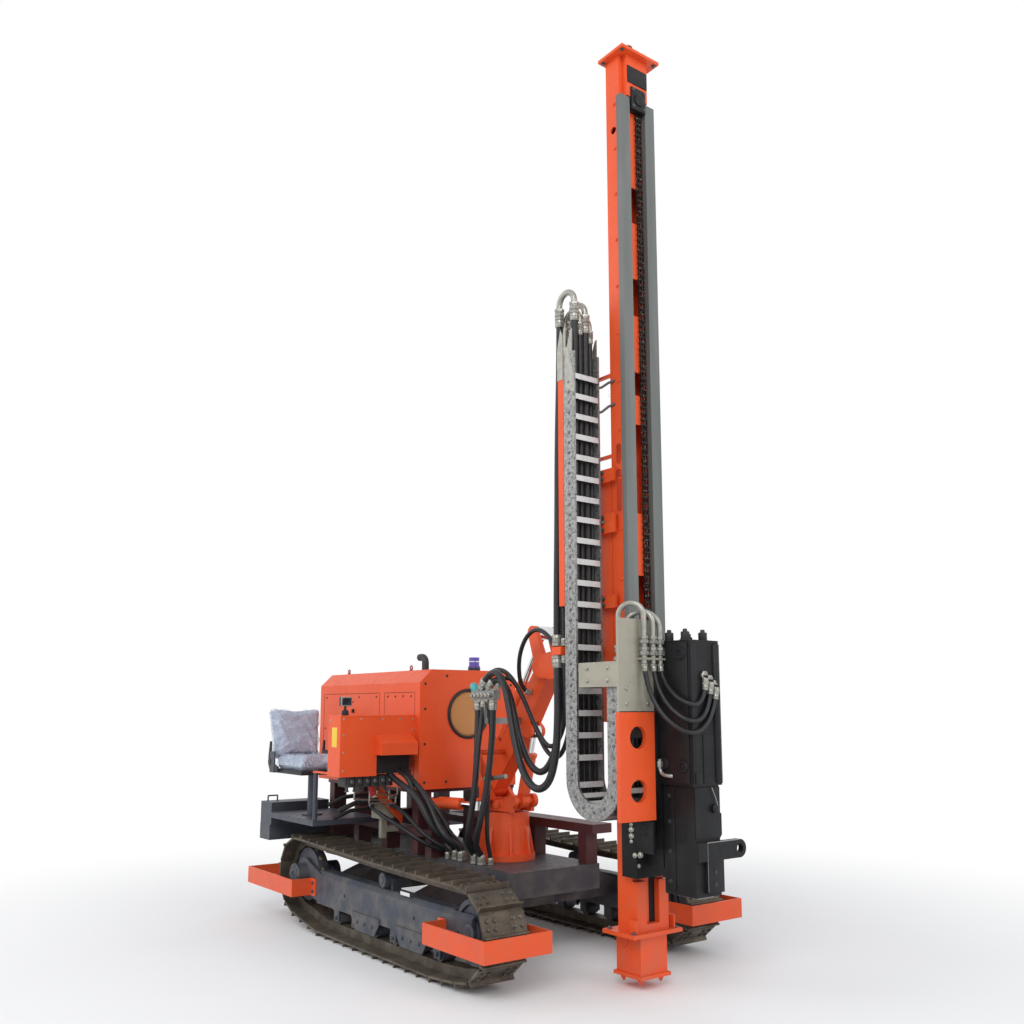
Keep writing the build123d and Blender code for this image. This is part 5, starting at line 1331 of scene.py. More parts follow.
@dataclass(frozen=True)
class Controls:
    """The control box's rivets and blank plate, the display, the valve bank and its thin pipes."""

    right_x: float = -1.0300
    front_y: float = 0.4300
    rivet: float = 0.0075
    bank: tuple[float, ...] = (-0.925, -0.865, -0.805, -0.745, -0.685, -0.625)

    def build(self) -> None:
        """Make every trim near the seat."""
        rivets = Shape()
        for x, z in (((-1.005, -0.87, -0.70, -0.56, -0.455), 1.508), (-1.005, (1.16, 1.28, 1.40)),
                     (-0.455, 1.43)):
            rivets.rivets(x, self.front_y, z, FRONT, self.rivet)
        rivets.rivets(self.right_x, 0.585, (1.16, 1.50), RIGHT, self.rivet)
        rivets.build("box_rivets", Look.ZINC)
        label = Shape()
        label.slab((self.right_x - 0.0014, 0.478, 1.318), (self.right_x + 0.0005, 0.552, 1.452),
                   0.0006)
        label.build("blank_plate_box", Look.LABEL_YELLOW)
        edge = Shape()
        edge.slab((-1.0305, 0.428, 1.118), (-0.752, 0.612, 1.1245), 0.001)
        edge.slab((-1.0305, 0.4285, 1.5285), (-0.4305, 0.612, 1.5345), 0.001)
        edge.build("box_flanges", Look.ORANGE)
        # A near-black block of painted shade fills the box's opening.
        mouth = Shape()
        mouth.slab((-0.742, 0.432, 1.1325), (-0.480, 0.600, 1.2615), 0.002)
        mouth.build("box_mouth_shade", Look.DARK)
        self.display()
        self.valve_bank()

    def display(self) -> None:
        """The display's pale bezel, dark glass and collar."""
        bezel = Shape()
        bezel.slab((-1.012, 0.463, 1.598), (-0.928, 0.471, 1.662), 0.003)
        bezel.build("display_bezel", Look.ZINC)
        glass = Shape()
        glass.slab((-1.004, 0.4605, 1.606), (-0.936, 0.4650, 1.654), 0.001)
        glass.build("display_glass", Look.SCREEN)
        foot = Shape()
        foot.stack([(0.022, 0.0), (0.024, 0.010), (0.024, 0.030), (0.014, 0.040)], 18,
                   (-0.970, 0.4825, 1.533))
        foot.build("display_collar", Look.PLASTIC)

    def valve_bank(self) -> None:
        """Valve sections hung under the control box, with bent thin pipes."""
        bank, caps, pipes, red = Shape(), Shape(), Shape(), Shape()
        for x in self.bank:
            bank.slab((x - 0.026, 0.455, 1.045), (x + 0.026, 0.600, 1.1195), 0.004)
            caps.stack([(0.017, 0.0), (0.017, 0.016), (0.012, 0.020)], 6, (x, 0.455, 1.083), FRONT)
            caps.stack([(0.012, 0.0), (0.012, 0.022), (0.016, 0.024), (0.016, 0.034)], 6,
                       (x, 0.520, 1.045), DOWN)
        bank.slab((-0.960, 0.470, 1.055), (-0.590, 0.590, 1.110), 0.006)
        bank.build("valve_bank", Look.IRON)
        caps.build("valve_caps", Look.DARK_STEEL)
        for x, low, reach in ((-0.865, 0.955, 0.300), (-0.745, 0.925, 0.235),
                              (-0.685, 0.985, 0.190)):
            leg = np.array(((x, 0.520, 1.015), (x, 0.520, low + 0.02), (x, 0.526, low + 0.006),
                            (x + 0.02, 0.535, low), (x + reach - 0.02, 0.560, low - 0.02),
                            (x + reach, 0.566, low - 0.012),
                            (x + reach + 0.006, 0.570, low + 0.05)))
            pipes.tube(leg, 0.006, 10)
        pipes.build("thin_pipes", Look.ZINC)
        red.prism([(-0.795, 1.045), (-0.770, 1.045), (-0.752, 0.985), (-0.778, 0.975)],
                  (0.0, 0.452, 0.0), FRONT, 0.008)
        red.build("small_red_bracket", Look.EYE_RED)
        cross = Shape()
        for y, z, r in ((0.66, 0.92, 0.0180), (0.74, 0.86, 0.0144), (0.82, 0.95, 0.0156)):
            cross.tube(np.array(((-0.900, y + 0.02, z - 0.05), (-0.780, y, z),
                                 (-0.600, y - 0.01, z + 0.015), (-0.445, y - 0.02, z))), r, 12)
        cross.build("cross_pipes", Look.HOSE)


# Boom and mast


@dataclass(frozen=True)
class BoomTrim:
    """Pin caps, gland rings, the lever with its rod, and the manifold's fittings."""

    pin_end: float = 0.082
    pin_cap: tuple[tuple[float, float], ...] = (
        (0.046, -0.002), (0.046, 0.006), (0.038, 0.012), (0.016, 0.012), (0.014, 0.006))
    gland: tuple[tuple[float, float], ...] = (
        (0.0445, -0.012), (0.0475, -0.010), (0.0475, 0.010), (0.0445, 0.012))
    swing_axis: tuple[float, float] = (0.0, -0.070)

    def build(self) -> None:
        """Make the trims of the boom and its rams."""
        caps = Shape()
        for y, z in ((0.060, 1.040), (-0.580, 1.860)):
            for sign in SIDES.values():
                caps.stack(self.pin_cap, 28, (sign * self.pin_end, y, z), (sign, 0.0, 0.0))
        lever = Shape()
        pin = (-0.134, 1.288)
        lever.stack([(0.020, 0.0), (0.020, 0.245), (0.017, 0.250)], 20, (-0.060, *pin), RIGHT)
        start, end = Vector((-0.292, *pin)), Vector((-0.292, -0.254, 1.116))
        run = (end - start).normalized()
        side = Vector((0.0, -run.z, run.y))
        outline = [start + side * 0.030 - run * 0.02, start + side * 0.020 - run * 0.035,
                   start - side * 0.020 - run * 0.035, start - side * 0.030 - run * 0.02,
                   end - side * 0.024 + run * 0.018, end - side * 0.012 + run * 0.03,
                   end + side * 0.012 + run * 0.03, end + side * 0.024 + run * 0.018]
        lever.prism([(p.y, p.z) for p in outline], (-0.304, 0.0, 0.0), LEFT, 0.024)
        lever.build("boom_lever", Look.ORANGE, "boom")
        rod = Shape()
        rod.tube(np.array(((-0.292, -0.262, 1.118), (-0.292, -0.36, 1.131),
                           (-0.292, -0.470, 1.145))), 0.015, 16)
        rod.stack([(0.022, 0.0), (0.022, 0.02), (0.017, 0.024)], 6, (-0.292, -0.300, 1.123),
                  (0.0, -1.0, 0.13))
        for y, z in (pin, (-0.254, 1.116)):
            rod.bolt((-0.304, y, z), RIGHT, 0.013)
        rod.build("boom_lever_rod", Look.ZINC, "boom")
        caps.build("boom_pin_caps", Look.ORANGE, "boom")
        self.gussets()
        fittings, cap = Shape(), Shape()
        for y in (-0.215, -0.260, -0.330, -0.385, -0.410):
            fittings.stack([(0.020, 0.0), (0.022, 0.003), (0.022, 0.012), (0.018, 0.014)], 6,
                           (-0.335, y, 1.699))
        for y in (-0.215, -0.260, -0.300, -0.340, -0.385):
            fittings.stack([(0.018, 0.0), (0.020, 0.002), (0.020, 0.020), (0.013, 0.024),
                            (0.013, 0.034)], 6, (-0.3618, y, 1.668), RIGHT)
        for y in (-0.26, -0.34):
            fittings.stack([(0.019, 0.0), (0.019, 0.014), (0.014, 0.018)], 6, (-0.352, y, 1.641),
                           DOWN)
        fittings.build("manifold_fittings", Look.ZINC, "boom")
        cap.stack([(0.026, 0.0), (0.028, 0.010), (0.024, 0.045), (0.016, 0.056)], 12,
                  (-0.336, -0.186, 1.700), (-0.3, 0.35, 1.0), 0.2)
        cap.build("teal_hose_cap", Look.TEAL, "boom")
        for ram, foot, head, reach in (("lift", (-0.270, 0.960), (-0.400, 1.430), 0.322),
                                       ("tilt", (-0.030, 1.337), (-0.503, 2.088), 0.492)):
            ring = Shape()
            ring.stack(self.gland, 28, *self.on_ram(foot, head, reach))
            ring.build(f"{ram}_gland_ring", Look.ORANGE, f"{ram}_barrel")

    def gussets(self) -> None:
        """Ribs and flange bolts round the pedestal, and lugs on the turret's rim."""
        ribs, bolts, lugs = Shape(), Shape(), Shape()
        axis_x, axis_y = self.swing_axis
        for turn in np.radians(np.arange(20.0, 380.0, 45.0)):
            out = np.array((math.cos(turn), math.sin(turn), 0.0))
            across = np.array((-math.sin(turn), math.cos(turn), 0.0))
            outline = [(0.160, 0.575), (0.204, 0.575), (0.204, 0.600), (0.176, 0.760),
                       (0.160, 0.790)]
            points = np.array([(axis_x, axis_y, z) + out * r for r, z in outline])
            shift = across * 0.009
            ribs.add(np.concatenate((points + shift, points - shift)), skin(2, len(outline)))
        for at in arc((axis_x, axis_y, 0.580), LEFT, REAR, 0.188, 42.5, 357.5, 8):
            bolts.bolt(at, UP, 0.012)
        for turn in np.radians((205.0, 245.0, 295.0, 335.0)):
            out = np.array((math.cos(turn), math.sin(turn), 0.0))
            lugs.stack([(0.026, 0.0), (0.026, 0.014), (0.020, 0.018), (0.012, 0.018)], 20,
                       (axis_x, axis_y, 0.923) + out * 0.126, out)
        ribs.build("pedestal_ribs", Look.ORANGE)
        bolts.build("pedestal_bolts", Look.DARK_STEEL)
        lugs.build("turret_lugs", Look.ORANGE, "turret")

    @staticmethod
    def on_ram(foot: tuple[float, float], head: tuple[float, float],
               reach: float) -> tuple[Point, Point]:
        """A place at a reach along a ram in the middle plane, and the ram's direction.

        Args:
            foot: Place and height of the ram's foot.
            head: Place and height of its head.
            reach: Distance from the foot.

        Returns:
            The place and the direction.
        """
        run = Vector((0.0, head[0] - foot[0], head[1] - foot[1])).normalized()
        place = Vector((0.0, *foot)) + run * reach
        return tuple(place), tuple(run)


@dataclass(frozen=True)
class MastTrim:
    """Bolts, the sprocket cover, the crown screw, stay rods and the foot's trims."""

    side_x: float = 0.1255
    cover_y: float = -1.512
    screw: Point = (0.0, -1.425, 5.800)

    def build(self) -> None:
        """Make the trims of the mast and its carrier."""
        bolts, dark, steel = Shape(), Shape(), Shape()
        for sign in SIDES.values():
            heights = np.arange(0.80, 5.45, 0.31)
            bolts.bolts(sign * self.side_x, -1.418, heights, (sign, 0.0, 0.0), 0.0085)
        bolts.build("mast_side_bolts", Look.ORANGE, "mast")
        dark.slab((-0.060, self.cover_y, 5.405), (0.066, -1.462, 5.560), 0.010)
        dark.slab((-0.086, -1.506, 5.585), (0.086, -1.500, 5.700), 0.003)
        dark.stack([(0.042, -0.012), (0.042, 0.006), (0.034, 0.010), (0.012, 0.010)], 24,
                   (0.006, self.cover_y, 5.482), FRONT)
        dark.build("sprocket_cover", Look.BLACK, "mast")
        steel.bolts((-0.045, 0.051), self.cover_y, (5.425, 5.540), FRONT, 0.009)
        steel.stack([(0.046, -0.002), (0.046, 0.026), (0.040, 0.032)], 6, self.screw)
        thread = [(0.0262 + (0.0022 if k % 2 else 0.0), 0.032 + 0.0035 * k) for k in range(20)]
        steel.stack([*thread, (0.018, 0.1045)], 20, self.screw)
        for z, normal in ((5.780, DOWN), (5.800, UP)):
            steel.bolts((-0.140, 0.140), (-1.515, -1.335), z, normal, 0.011)
        steel.build("mast_head_bolts", Look.DARK_STEEL, "mast")
        stays = Shape()
        for z, rise in ((3.560, 0.045), (3.400, 0.055), (2.700, 0.045)):
            path = np.array(((-0.195, -1.285, z), (-0.170, -1.310, z + rise * 0.2),
                             (-0.145, -1.345, z + rise * 0.75), (-0.120, -1.385, z + rise)))
            stays.tube(path, 0.008, 10)
        stays.build("chain_stays", Look.DARK_STEEL, "mast")
        self.foot()
        clamp = Shape()
        for z0, z1 in ((2.180, 2.260), (2.640, 2.760), (2.960, 3.040)):
            for sign in SIDES.values():
                clamp.bolts(sign * 0.166, -1.300, (z0 + 0.02, z1 - 0.02), (sign, 0.0, 0.0), 0.011)
        clamp.build("carrier_clamp_bolts", Look.DARK_STEEL, "mast_carrier")
        block = Shape()
        block.bolts((-0.363, -0.313), -1.108, 1.948, UP, 0.009)
        block.bolts(-0.350, -1.180, (1.915, 1.935), FRONT, 0.007)
        block.build("hose_clamp_bolts", Look.ZINC, "mast_carrier")

    def foot(self) -> None:
        """The foot's slot, a near-black sheet of painted shade, its plates, lugs and bolts."""
        lugs, bolts = Shape(), Shape()
        bolts.bolts((-0.165, 0.165), (-1.510, -1.310), 0.322, UP, 0.012)
        bolts.bolts((-0.085, 0.085), -1.4605, (0.37, 0.47, 0.57), FRONT, 0.010)
        for sign in SIDES.values():
            lugs.prism([(-1.400, 0.300), (-1.400, 0.250), (-1.365, 0.215), (-1.365, 0.300)],
                       (sign * 0.106 - 0.006, 0.0, 0.0), LEFT, 0.012)
            lugs.slab((sign * 0.150 - 0.006, -1.520, 0.322), (sign * 0.150 + 0.006, -1.462, 0.395),
                      0.002)
        lugs.build("foot_lugs", Look.ORANGE, "mast")
        # A near-black sheet of painted shade stands in the slot behind the feed chain.
        slot = Shape()
        slot.slab((0.004, -1.4612, 0.330), (0.058, -1.4560, 0.640), 0.001)
        slot.build("foot_slot_shade", Look.DARK, "mast")
        bolts.build("foot_bolts", Look.DARK_STEEL, "mast")


# Carriage and hammer


@dataclass(frozen=True)
class Carriage:
    """The cover's side plate, bolts, the parts seen through its holes and the painted shade behind
    one of them.
    """

    plate_y: float = -1.700

    def build(self) -> None:
        """Make the trims that ride on the carriage."""
        plate, bolts, dark, zinc = Shape(), Shape(), Shape(), Shape()
        outline = [(-0.378, 0.972), (-0.378, 0.850), (-0.345, 0.812), (-0.345, 0.722),
                   (-0.236, 0.722), (-0.236, 0.762), (-0.174, 0.762), (-0.174, 0.972)]
        # Facing the front, local X is minus world X, so the outline is turned over
        turned = [(-x, z) for x, z in outline[::-1]]
        plate.prism(turned, (0.0, self.plate_y + 0.010, 0.0), FRONT, 0.010)
        plate.slab((-0.190, -1.700, 0.780), (-0.172, -1.552, 0.960), 0.003)
        plate.build("chain_end_plate", Look.BLACK, "carriage")
        for x, z, size in ((-0.355, 0.955, 0.008), (-0.355, 0.928, 0.012), (-0.355, 0.894, 0.012),
                           (-0.355, 0.866, 0.008), (-0.330, 0.790, 0.011), (-0.290, 0.788, 0.013)):
            bolts.bolt((x, self.plate_y, z), FRONT, size)
        for z in (0.93, 0.895):
            for x0, x1 in ((-0.305, -0.280), (-0.258, -0.240)):
                dark.slab((x0, self.plate_y - 0.008, z - 0.010), (x1, self.plate_y, z + 0.010),
                          0.002)
        # A near-black sheet of painted shade sits behind a hole in the cover.
        dark.slab((-0.365, -1.6835, 1.418), (-0.235, -1.6775, 1.484), 0.001)
        dark.build("chain_end_blocks_and_hole_shade", Look.DARK, "carriage")
        zinc.slab((-0.420, -1.6835, 1.118), (-0.200, -1.6770, 1.146), 0.001)
        zinc.build("cover_cross_strip", Look.ZINC, "carriage")
        bolts.bolts((-0.385, -0.225), -1.712, (1.605, 1.690), FRONT, 0.0095)
        bolts.bolts(-0.440, (-1.62, -1.45), (1.735, 1.805), RIGHT, 0.010)
        bolts.bolts((-0.155, 0.155), -1.550, np.arange(0.70, 1.88, 0.118), FRONT, 0.010)
        bolts.build("carriage_bolts", Look.ZINC, "carriage")


@dataclass(frozen=True)
class Hammer:
    """Tie rods, bosses, ribs and plates on the hammer."""

    half: float = 0.118
    low: float = 1.160
    top: float = 1.960

    def build(self) -> None:
        """Make the hammer's own castings and fasteners."""
        cast, rods, worn = Shape(), Shape(), Shape()
        for sign in SIDES.values():
            x0, x1 = sorted((sign * self.half, sign * (self.half + 0.007)))
            cast.slab((x0, -1.925, self.low + 0.012), (x1, -1.690, self.top - 0.012), 0.004)
            for y, z in ((-1.735, 1.895), (-1.880, 1.885), (-1.735, 1.275), (-1.880, 1.265)):
                boss = [(0.036, -0.002), (0.036, 0.006), (0.031, 0.012), (0.019, 0.012),
                        (0.017, 0.006), (0.006, 0.006)]
                cast.stack(boss, 28, (sign * (self.half + 0.007), y, z), (sign, 0.0, 0.0))
            cast.slab((sign * 0.094 - 0.022, -1.949, self.low + 0.01),
                      (sign * 0.094 + 0.022, -1.938, self.top - 0.02), 0.004)
        cast.stack([(0.020, 0.0), (0.024, 0.006), (0.024, 0.755), (0.016, 0.768)], 24,
                   (0.088, -1.938, 1.175))
        cast.slab((-0.105, -1.955, 1.172), (-0.060, -1.938, 1.235), 0.004)
        cast.slab((-0.030, -1.944, self.low + 0.012), (0.060, -1.938, 1.44), 0.003)
        for x in (-0.072, 0.072):
            for y in (-1.745, -1.868):
                rods.stack([(0.032, -0.002), (0.032, 0.005), (0.029, 0.007)], 24, (x, y, self.top))
                rods.stack([(0.023, 0.006), (0.025, 0.010), (0.025, 0.046), (0.021, 0.050)], 20,
                           (x, y, self.top))
                rods.stack([(0.013, 0.049), (0.013, 0.062), (0.010, 0.066)], 14, (x, y, self.top))
        cast.stack([(0.030, -0.004), (0.034, 0.004), (0.034, 0.020), (0.026, 0.026)], 24,
                   (0.0, -1.81, self.top))
        self.lower(cast, rods, worn)
        cast.build("hammer_castings", Look.BLACK, "carriage")
        rods.build("hammer_tie_rods", Look.IRON, "carriage")
        worn.build("hammer_worn_edges", Look.STEEL, "carriage")
        elbows = Shape()
        for x, foot in ((0.071, 1.677), (0.028, 1.705), (-0.014, 1.727)):
            path = np.array(((x, -1.957, foot - 0.006), (x, -1.957, foot + 0.014),
                             (x, -1.9545, foot + 0.026), (x, -1.948, foot + 0.0345),
                             (x, -1.936, foot + 0.036)))
            elbows.tube(path, 0.0192, 18)
            elbows.stack([(0.026, 0.0), (0.028, 0.002), (0.028, 0.008), (0.024, 0.010)], 6,
                         (x, -1.948, foot + 0.0345), FRONT)
        side = np.array(((-0.140, -1.716, 1.300), (-0.140, -1.716, 1.245), (-0.140, -1.728, 1.222),
                         (-0.140, -1.752, 1.212), (-0.136, -1.785, 1.210), (-0.124, -1.795, 1.210)))
        elbows.tube(side, 0.011, 14)
        elbows.stack([(0.015, 0.0), (0.017, 0.003), (0.017, 0.030), (0.014, 0.034)], 6,
                     (-0.140, -1.716, 1.255))
        elbows.build("hammer_elbows", Look.ZINC, "carriage")

    def lower(self, cast: Shape, rods: Shape, worn: Shape) -> None:
        """The lower body's windows, as near-black sheets of painted shade, front plate and worn
        edges.

        Args:
            cast: The castings.
            rods: The fasteners.
            worn: The worn edges.
        """
        # Each window is a near-black sheet of painted shade on the body's side.
        window = Shape()
        for sign in SIDES.values():
            window.slab((sign * 0.1008 - 0.001, -1.862, 0.850),
                        (sign * 0.1008 + 0.001, -1.788, 0.945), 0.0008)
            cast.slab((sign * 0.102 - 0.003, -1.785, 0.590), (sign * 0.102 + 0.003, -1.715, 1.150),
                      0.002)
            rods.bolts(sign * 0.105, -1.750, (0.64, 0.80, 0.96, 1.10), (sign, 0.0, 0.0), 0.010)
        window.build("hammer_window_shade", Look.DARK, "carriage")
        cast.slab((-0.030, -1.955, 0.590), (0.099, -1.928, 0.765), 0.004)
        cast.slab((-0.098, -1.938, 0.880), (0.098, -1.929, 1.150), 0.003)
        for z in (0.635, 0.700):
            rods.stack([(0.012, -0.001), (0.012, 0.0015)], 18, (0.030, -1.955, z), FRONT)
        cast.stack([(0.024, 0.0), (0.024, 0.018), (0.016, 0.022)], 20, (0.045, -1.938, 1.035),
                   FRONT)
        worn.slab((-0.0315, -1.9562, 0.856), (0.225, -1.953, 0.8612), 0.0008)
        worn.slab((-0.0312, -1.9562, 0.600), (-0.0285, -1.953, 0.858), 0.0008)
        worn.slab((-0.070, -1.915, 0.560), (0.055, -1.735, 0.572), 0.004)
        worn.tube(np.array(((0.026, -1.945, 1.150), (0.050, -1.950, 1.095), (0.066, -1.952, 1.045),
                            (0.060, -1.952, 1.02))), 0.003, 8)


# Seat


@dataclass(frozen=True)
class Seat:
    """Cushion and back puffed by cloth simulation, their welts, clear films and the brackets."""

    voxel: float = 0.008
    pressure: float = 4.0
    swell: float = 0.026
    inset: float = 0.008
    frames: int = 20
    lean: float = 0.070
    foot_less: float = 0.14
    top_less: float = 0.03

    CREASES = np.array(((61.0, -23.0, 17.0), (19.0, 53.0, -29.0), (-31.0, 41.0, 67.0)))

    def pad(self, name: str, low: Sequence[float], high: Sequence[float],
            lean: float) -> bpy.types.Object:
        """Make one pad.

        Args:
            name: The pad's name.
            low: Lowest corner of its space.
            high: Highest corner of its space.
            lean: How far the top leans to the rear.

        Returns:
            The finished pad, still riding on nothing.
        """
        shape = Shape()
        shape.slab(np.array(low) + self.inset, np.array(high) - self.inset, 0.026)
        made = shape.build(name, Look.PAD, None, 180.0)
        grid = made.modifiers.new("grid", "REMESH")
        grid.mode, grid.voxel_size = "VOXEL", self.voxel
        self.apply(made)
        places = self.read(made)
        rise = (places[:, 2] - low[2]) / (high[2] - low[2])
        if lean:
            places[:, 1] += lean * (rise - 0.5)
            # Narrower at the foot and rounder at the top
            middle = (low[0] + high[0]) / 2.0
            share = 1.0 - self.foot_less * (1.0 - rise) ** 2 - self.top_less * rise ** 6
            places[:, 0] = middle + (places[:, 0] - middle) * share
        self.write(made, places)
        self.simulate(made)
        made.modifiers.new("smooth", "SMOOTH").iterations = 3
        fine = made.modifiers.new("fine", "SUBSURF")
        fine.levels = fine.render_levels = 1
        self.apply(made)
        if not lean:
            ends = np.array(low) - self.inset, np.array(high) + self.inset
            self.write(made, np.clip(self.read(made), *ends))
        made.data.polygons.foreach_set("use_smooth", np.ones(len(made.data.polygons), bool))
        return made

    def simulate(self, made: bpy.types.Object) -> None:
        """Blow the pad up as cloth and keep each point within the swell.

        Args:
            made: The pad.
        """
        start = self.read(made)
        cloth = made.modifiers.new("cloth", "CLOTH")
        cloth.settings.use_pressure = True
        cloth.settings.uniform_pressure_force = self.pressure
        cloth.settings.effector_weights.gravity = 0.0
        cloth.point_cache.frame_start = 1
        cloth.point_cache.frame_end = self.frames
        scene = bpy.context.scene
        for frame in range(1, self.frames + 1):
            scene.frame_set(frame)
        self.apply(made)
        scene.frame_set(1)
        move = self.read(made) - start
        reach = np.linalg.norm(move, axis=1)
        share = np.minimum(1.0, self.swell / np.maximum(reach, 1e-9))
        self.write(made, start + move * share[:, None])

    @staticmethod
    def apply(made: bpy.types.Object) -> None:
        """Turn the object's modifiers into its mesh.

        Args:
            made: The object.
        """
        graph = bpy.context.evaluated_depsgraph_get()
        mesh = bpy.data.meshes.new_from_object(made.evaluated_get(graph))
        made.modifiers.clear()
        made.data = mesh

    @staticmethod
    def read(made: bpy.types.Object) -> np.ndarray:
        """The mesh's points as rows.

        Args:
            made: The object.

        Returns:
            The points.
        """
        flat = np.zeros(len(made.data.vertices) * 3)
        made.data.vertices.foreach_get("co", flat)
        return flat.reshape(-1, 3)

    @staticmethod
    def write(made: bpy.types.Object, places: np.ndarray) -> None:
        """Put points back into the mesh."""
        made.data.vertices.foreach_set("co", places.ravel())
        made.data.update()

    def welt(self, name: str, pad: bpy.types.Object, axes: tuple[int, int]) -> bpy.types.Object:
        """A sewn welt along the pad's widest line.

        Args:
            name: The welt's name.
            pad: The pad that it runs round.
            axes: The two axes of the welt's plane.

        Returns:
            The welt.
        """
        places = self.read(pad)
        middle = (places.min(0) + places.max(0)) / 2.0
        flat = places[:, axes] - middle[list(axes)]
        turn = np.arctan2(flat[:, 1], flat[:, 0])
        reach = np.linalg.norm(flat, axis=1)
        steps = np.linspace(-math.pi, math.pi, 73)
        rows = []
        for low in steps[:-1]:
            near = np.abs((turn - low + math.pi) % (2.0 * math.pi) - math.pi) < 0.06
            rows.append(places[near][np.argmax(reach[near])])
        path = np.array(rows)
        path = (np.roll(path, 1, 0) + path * 2.0 + np.roll(path, -1, 0)) / 4.0
        shape = Shape()
        shape.tube(np.concatenate((path, path[:1])), 0.0042, 8)
        return shape.build(name, Look.PAD_WELT, None)

    def film(self, name: str, pad: bpy.types.Object, keep_above: float, node: str) -> None:
        """A loose clear film over a pad, cut open below.

        Args:
            name: The film's name.
            pad: The pad under it.
            keep_above: Height below which the film is cut away.
            node: Node that it rests on; not used.
        """
        mesh = pad.data.copy()
        film = bpy.data.objects.new(name, mesh)
        bpy.context.scene.collection.objects.link(film)
        places = self.read(film)
        flat = np.zeros(len(places) * 3)
        mesh.vertices.foreach_get("normal", flat)
        out = flat.reshape(-1, 3)
        top = places[:, 2].max()
        down = (top - places[:, 2]) / (top - keep_above)
        # Folds fan out from the upper corner: sharp ridges of a sine in the turn about it
        corner = np.array((places[:, 0].min(), top))
        turn = np.arctan2(corner[1] - places[:, 2] + 0.03, places[:, 0] - corner[0] + 0.03)
        folds = np.abs(np.sin(turn * 11.0 + 1.7 * np.sin(places[:, 0] * 23.0))) ** 3
        cross = np.abs(np.sin(places[:, 2] * 58.0 + 3.0 * np.sin(places[:, 0] * 17.0))) ** 6
        # Small waves: the product of three sines of mixed places, from -1 to 1
        fine = np.prod(np.sin(places @ self.CREASES), axis=1)
        lift = 0.003 + 0.010 * folds + 0.002 * (fine + 0.5)
        lift += 0.005 * cross * np.clip(down, 0.0, 1.0)
        places = places + out * lift[:, None]
        flare = np.clip(down - 0.55, 0.0, 1.0) * 0.012
        places[:, 0] += np.sign(places[:, 0] - places[:, 0].mean()) * flare
        self.write(film, places)
        cut = bmesh.new()
        cut.from_mesh(mesh)
        loose = [f for f in cut.faces if f.calc_center_median().z < keep_above]
        bmesh.ops.delete(cut, geom=loose, context="FACES")
        area = sum(f.calc_area() for f in cut.faces)
        cut.to_mesh(mesh)
        cut.free()
        mesh.materials.clear()
        mesh.materials.append(Look.FILM.get())
        mesh.polygons.foreach_set("use_smooth", np.ones(len(mesh.polygons), bool))
        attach(film, "base")
        width = float(places[:, 0].max() - places[:, 0].min())
        round(area / width, 3)

    def build(self) -> None:
        """Make the seat's soft parts and bracket."""
        for node, axes, lean, keep in (("seat_cushion", (0, 1), 0.0, 0.35),
                                       ("seat_back", (0, 2), self.lean, 0.12)):
            box = Box(node)
            low, high = (box.x0, box.y0, box.z0), (box.x1, box.y1, box.z1)
            if lean:
                low = (box.x0, box.y0 + lean / 2.0, box.z0)
                high = (box.x1, box.y1 - lean / 2.0, box.z1)
            pad = self.pad(f"{node}_pad", low, high, lean)
            welt = self.welt(f"{node}_welt", pad, axes)
            for piece in (pad, welt):
                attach(piece, "base")
            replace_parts(pad, node)
            self.film(f"{node}_film", pad, box.z0 + (box.z1 - box.z0) * keep, node)
        shell = Shape()
        for x in (-1.010, -0.556):
            shell.prism([(1.500, 1.105), (1.640, 1.105), (1.672, 1.150), (1.676, 1.215),
                         (1.655, 1.330), (1.643, 1.330), (1.640, 1.220), (1.600, 1.165),
                         (1.500, 1.140)], (x, 0.0, 0.0), LEFT, 0.014)
            shell.stack([(0.026, -0.006), (0.026, 0.020), (0.020, 0.024)], 20, (x, 1.640, 1.175),
                        LEFT)
        shell.slab((-0.985, 1.125, 1.092), (-0.575, 1.590, 1.124), 0.010)
        shell.build("recliner_brackets", Look.SEAT_SHELL)
        rim = Shape()
        rim.stack([(0.060, 0.0), (0.060, 0.008), (0.050, 0.014), (0.040, 0.014)], 28,
                  (-0.780, 1.350, 0.782))
        for at in arc((-0.780, 1.350, 0.790), LEFT, REAR, 0.050, 45.0, 315.0, 4):
            rim.bolt(at, UP, 0.007)
        rim.build("seat_column_flange", Look.GREY)


# Stage and camera


@dataclass(frozen=True)
class Shot:
    """The photograph's camera, found from the object's own lines."""

    place: Point = (-4.168, -5.700, 1.573)
    heading: tuple[float, float] = (0.6004, 0.7997)
    pitch: float = 8.3
    focal_share: float = 0.958
    centre_drop_share: float = 0.0534
    sensor: float = 36.0
    clip_end: float = 200.0

    def build(self) -> None:
        """Make the camera and set it as the scene's."""
        data = bpy.data.cameras.new("camera")
        data.sensor_width = self.sensor
        data.lens = self.focal_share * data.sensor_width
        data.shift_y = self.centre_drop_share
        data.clip_end = self.clip_end
        camera = bpy.data.objects.new("camera", data)
        bpy.context.scene.collection.objects.link(camera)
        level, rise = math.cos(math.radians(self.pitch)), math.sin(math.radians(self.pitch))
        forward = Vector((self.heading[0] * level, self.heading[1] * level, rise))
        camera.location = self.place
        camera.rotation_euler = forward.to_track_quat("-Z", "Y").to_euler()
        bpy.context.scene.camera = camera


@dataclass(frozen=True)
class Lamp:
    """One soft area light: its place, what it faces, its side in metres and its power in watts."""

    name: str
    place: Point
    aim: Point
    size: float
    power: float

    def build(self) -> None:
        """Add the light to the scene."""
        data = bpy.data.lights.new(self.name, "AREA")
        data.size = self.size
        data.energy = self.power
        lamp = bpy.data.objects.new(self.name, data)
        lamp.location = self.place
        way = Vector(self.aim) - Vector(self.place)
        lamp.rotation_euler = way.to_track_quat("-Z", "Y").to_euler()
        bpy.context.scene.collection.objects.link(lamp)


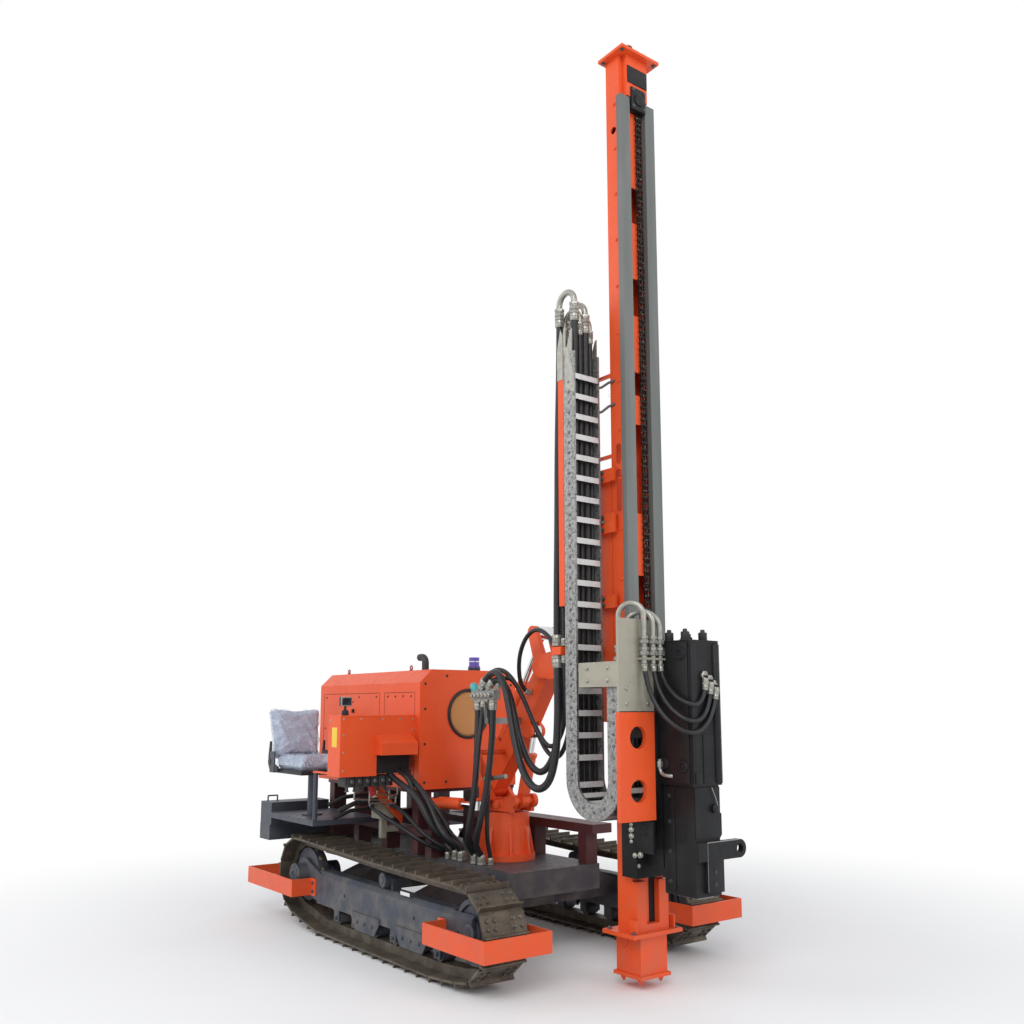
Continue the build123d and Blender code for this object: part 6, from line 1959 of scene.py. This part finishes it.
@dataclass(frozen=True)
class Stage:
    """The floor, the white surround and the lights."""

    lamps: tuple[Lamp, ...] = (
        Lamp("key", (-12.0, -12.0, 13.0), (0.0, 0.0, 1.5), 9.0, 1400.0),
        Lamp("fill", (-12.0, 5.0, 7.0), (0.0, 0.3, 1.0), 9.0, 480.0),
        Lamp("front", (4.0, -16.0, 8.0), (0.0, -1.0, 2.0), 8.0, 560.0),
    )
    seen_colour: Colour = (1.0, 1.0, 1.0)
    lit_colour: Colour = (0.93, 0.96, 1.0)
    lit_strength: float = 0.62
    floor_radius: float = 90.0
    fade_from: float = 2.0
    fade_to: float = 6.0

    def build(self) -> None:
        """Make the surround, the floor and the lights."""
        bpy.context.scene.view_settings.view_transform = "Standard"
        self.surround()
        self.floor()
        for lamp in self.lamps:
            lamp.build()

    def surround(self) -> None:
        """White where it is seen, and a plain level where it lights."""
        world = bpy.data.worlds.new("studio")
        bpy.context.scene.world = world
        world.use_nodes = True
        world.node_tree.nodes.clear()
        out = world.node_tree.nodes.new("ShaderNodeOutputWorld")
        graph = Graph(world.node_tree)
        lit, seen = (graph.node("ShaderNodeBackground",
                                {"Color": (*colour, 1.0), "Strength": strength})
                     for colour, strength in ((self.lit_colour, self.lit_strength),
                                              (self.seen_colour, 1.0)))
        graph.set(out.inputs["Surface"], graph.mix_shader(graph.seen(), lit, seen))

    def floor(self) -> None:
        """A pale floor that turns to the surround's white away from the machine.

        The white is only seen: on rays that light the machine the floor is its own pale paint.
        """
        shape = Shape()
        shape.stack([(self.floor_radius, -0.05), (self.floor_radius, -0.001)], 48, (0.0, 0.0, 0.0))
        floor = shape.build("floor", Look.FLOOR, None)
        tree = Look.FLOOR.get().node_tree
        graph = Graph(tree)
        paint = Socket(graph, tree.nodes["Principled BSDF"].outputs[0])
        away = graph.node("ShaderNodeVectorMath", {0: graph.places()}, "Value", operation="LENGTH")
        share = away.ramp(self.fade_from, self.fade_to) * graph.seen()
        mix = graph.mix_shader(share, paint, graph.node("ShaderNodeEmission", {}))
        graph.set(tree.nodes["Material Output"].inputs["Surface"], mix)


def dress_frame(frame: dict) -> None:
    """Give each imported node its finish.
    """
    for look, names in CAD_LOOKS.items():
        for name in names:
            mesh = frame["nodes"][name].data
            mesh.materials.clear()
            mesh.materials.append(look.get())


def main() -> None:
    """Load the frame, dress it, add every piece and finish."""
    logging.basicConfig(level=logging.INFO)
    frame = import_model()
    Shot().build()
    Stage().build()
    dress_frame(frame)
    HoseWork().build()
    Undercarriage().build(frame)
    for part in (DragChain(), FeedChain(), Hood(), Controls(), BoomTrim(), MastTrim(), Carriage(),
                 Hammer(), Seat()):
        part.build()
        log.info("built %s", type(part).__name__)


if __name__ == "__main__":
    main()
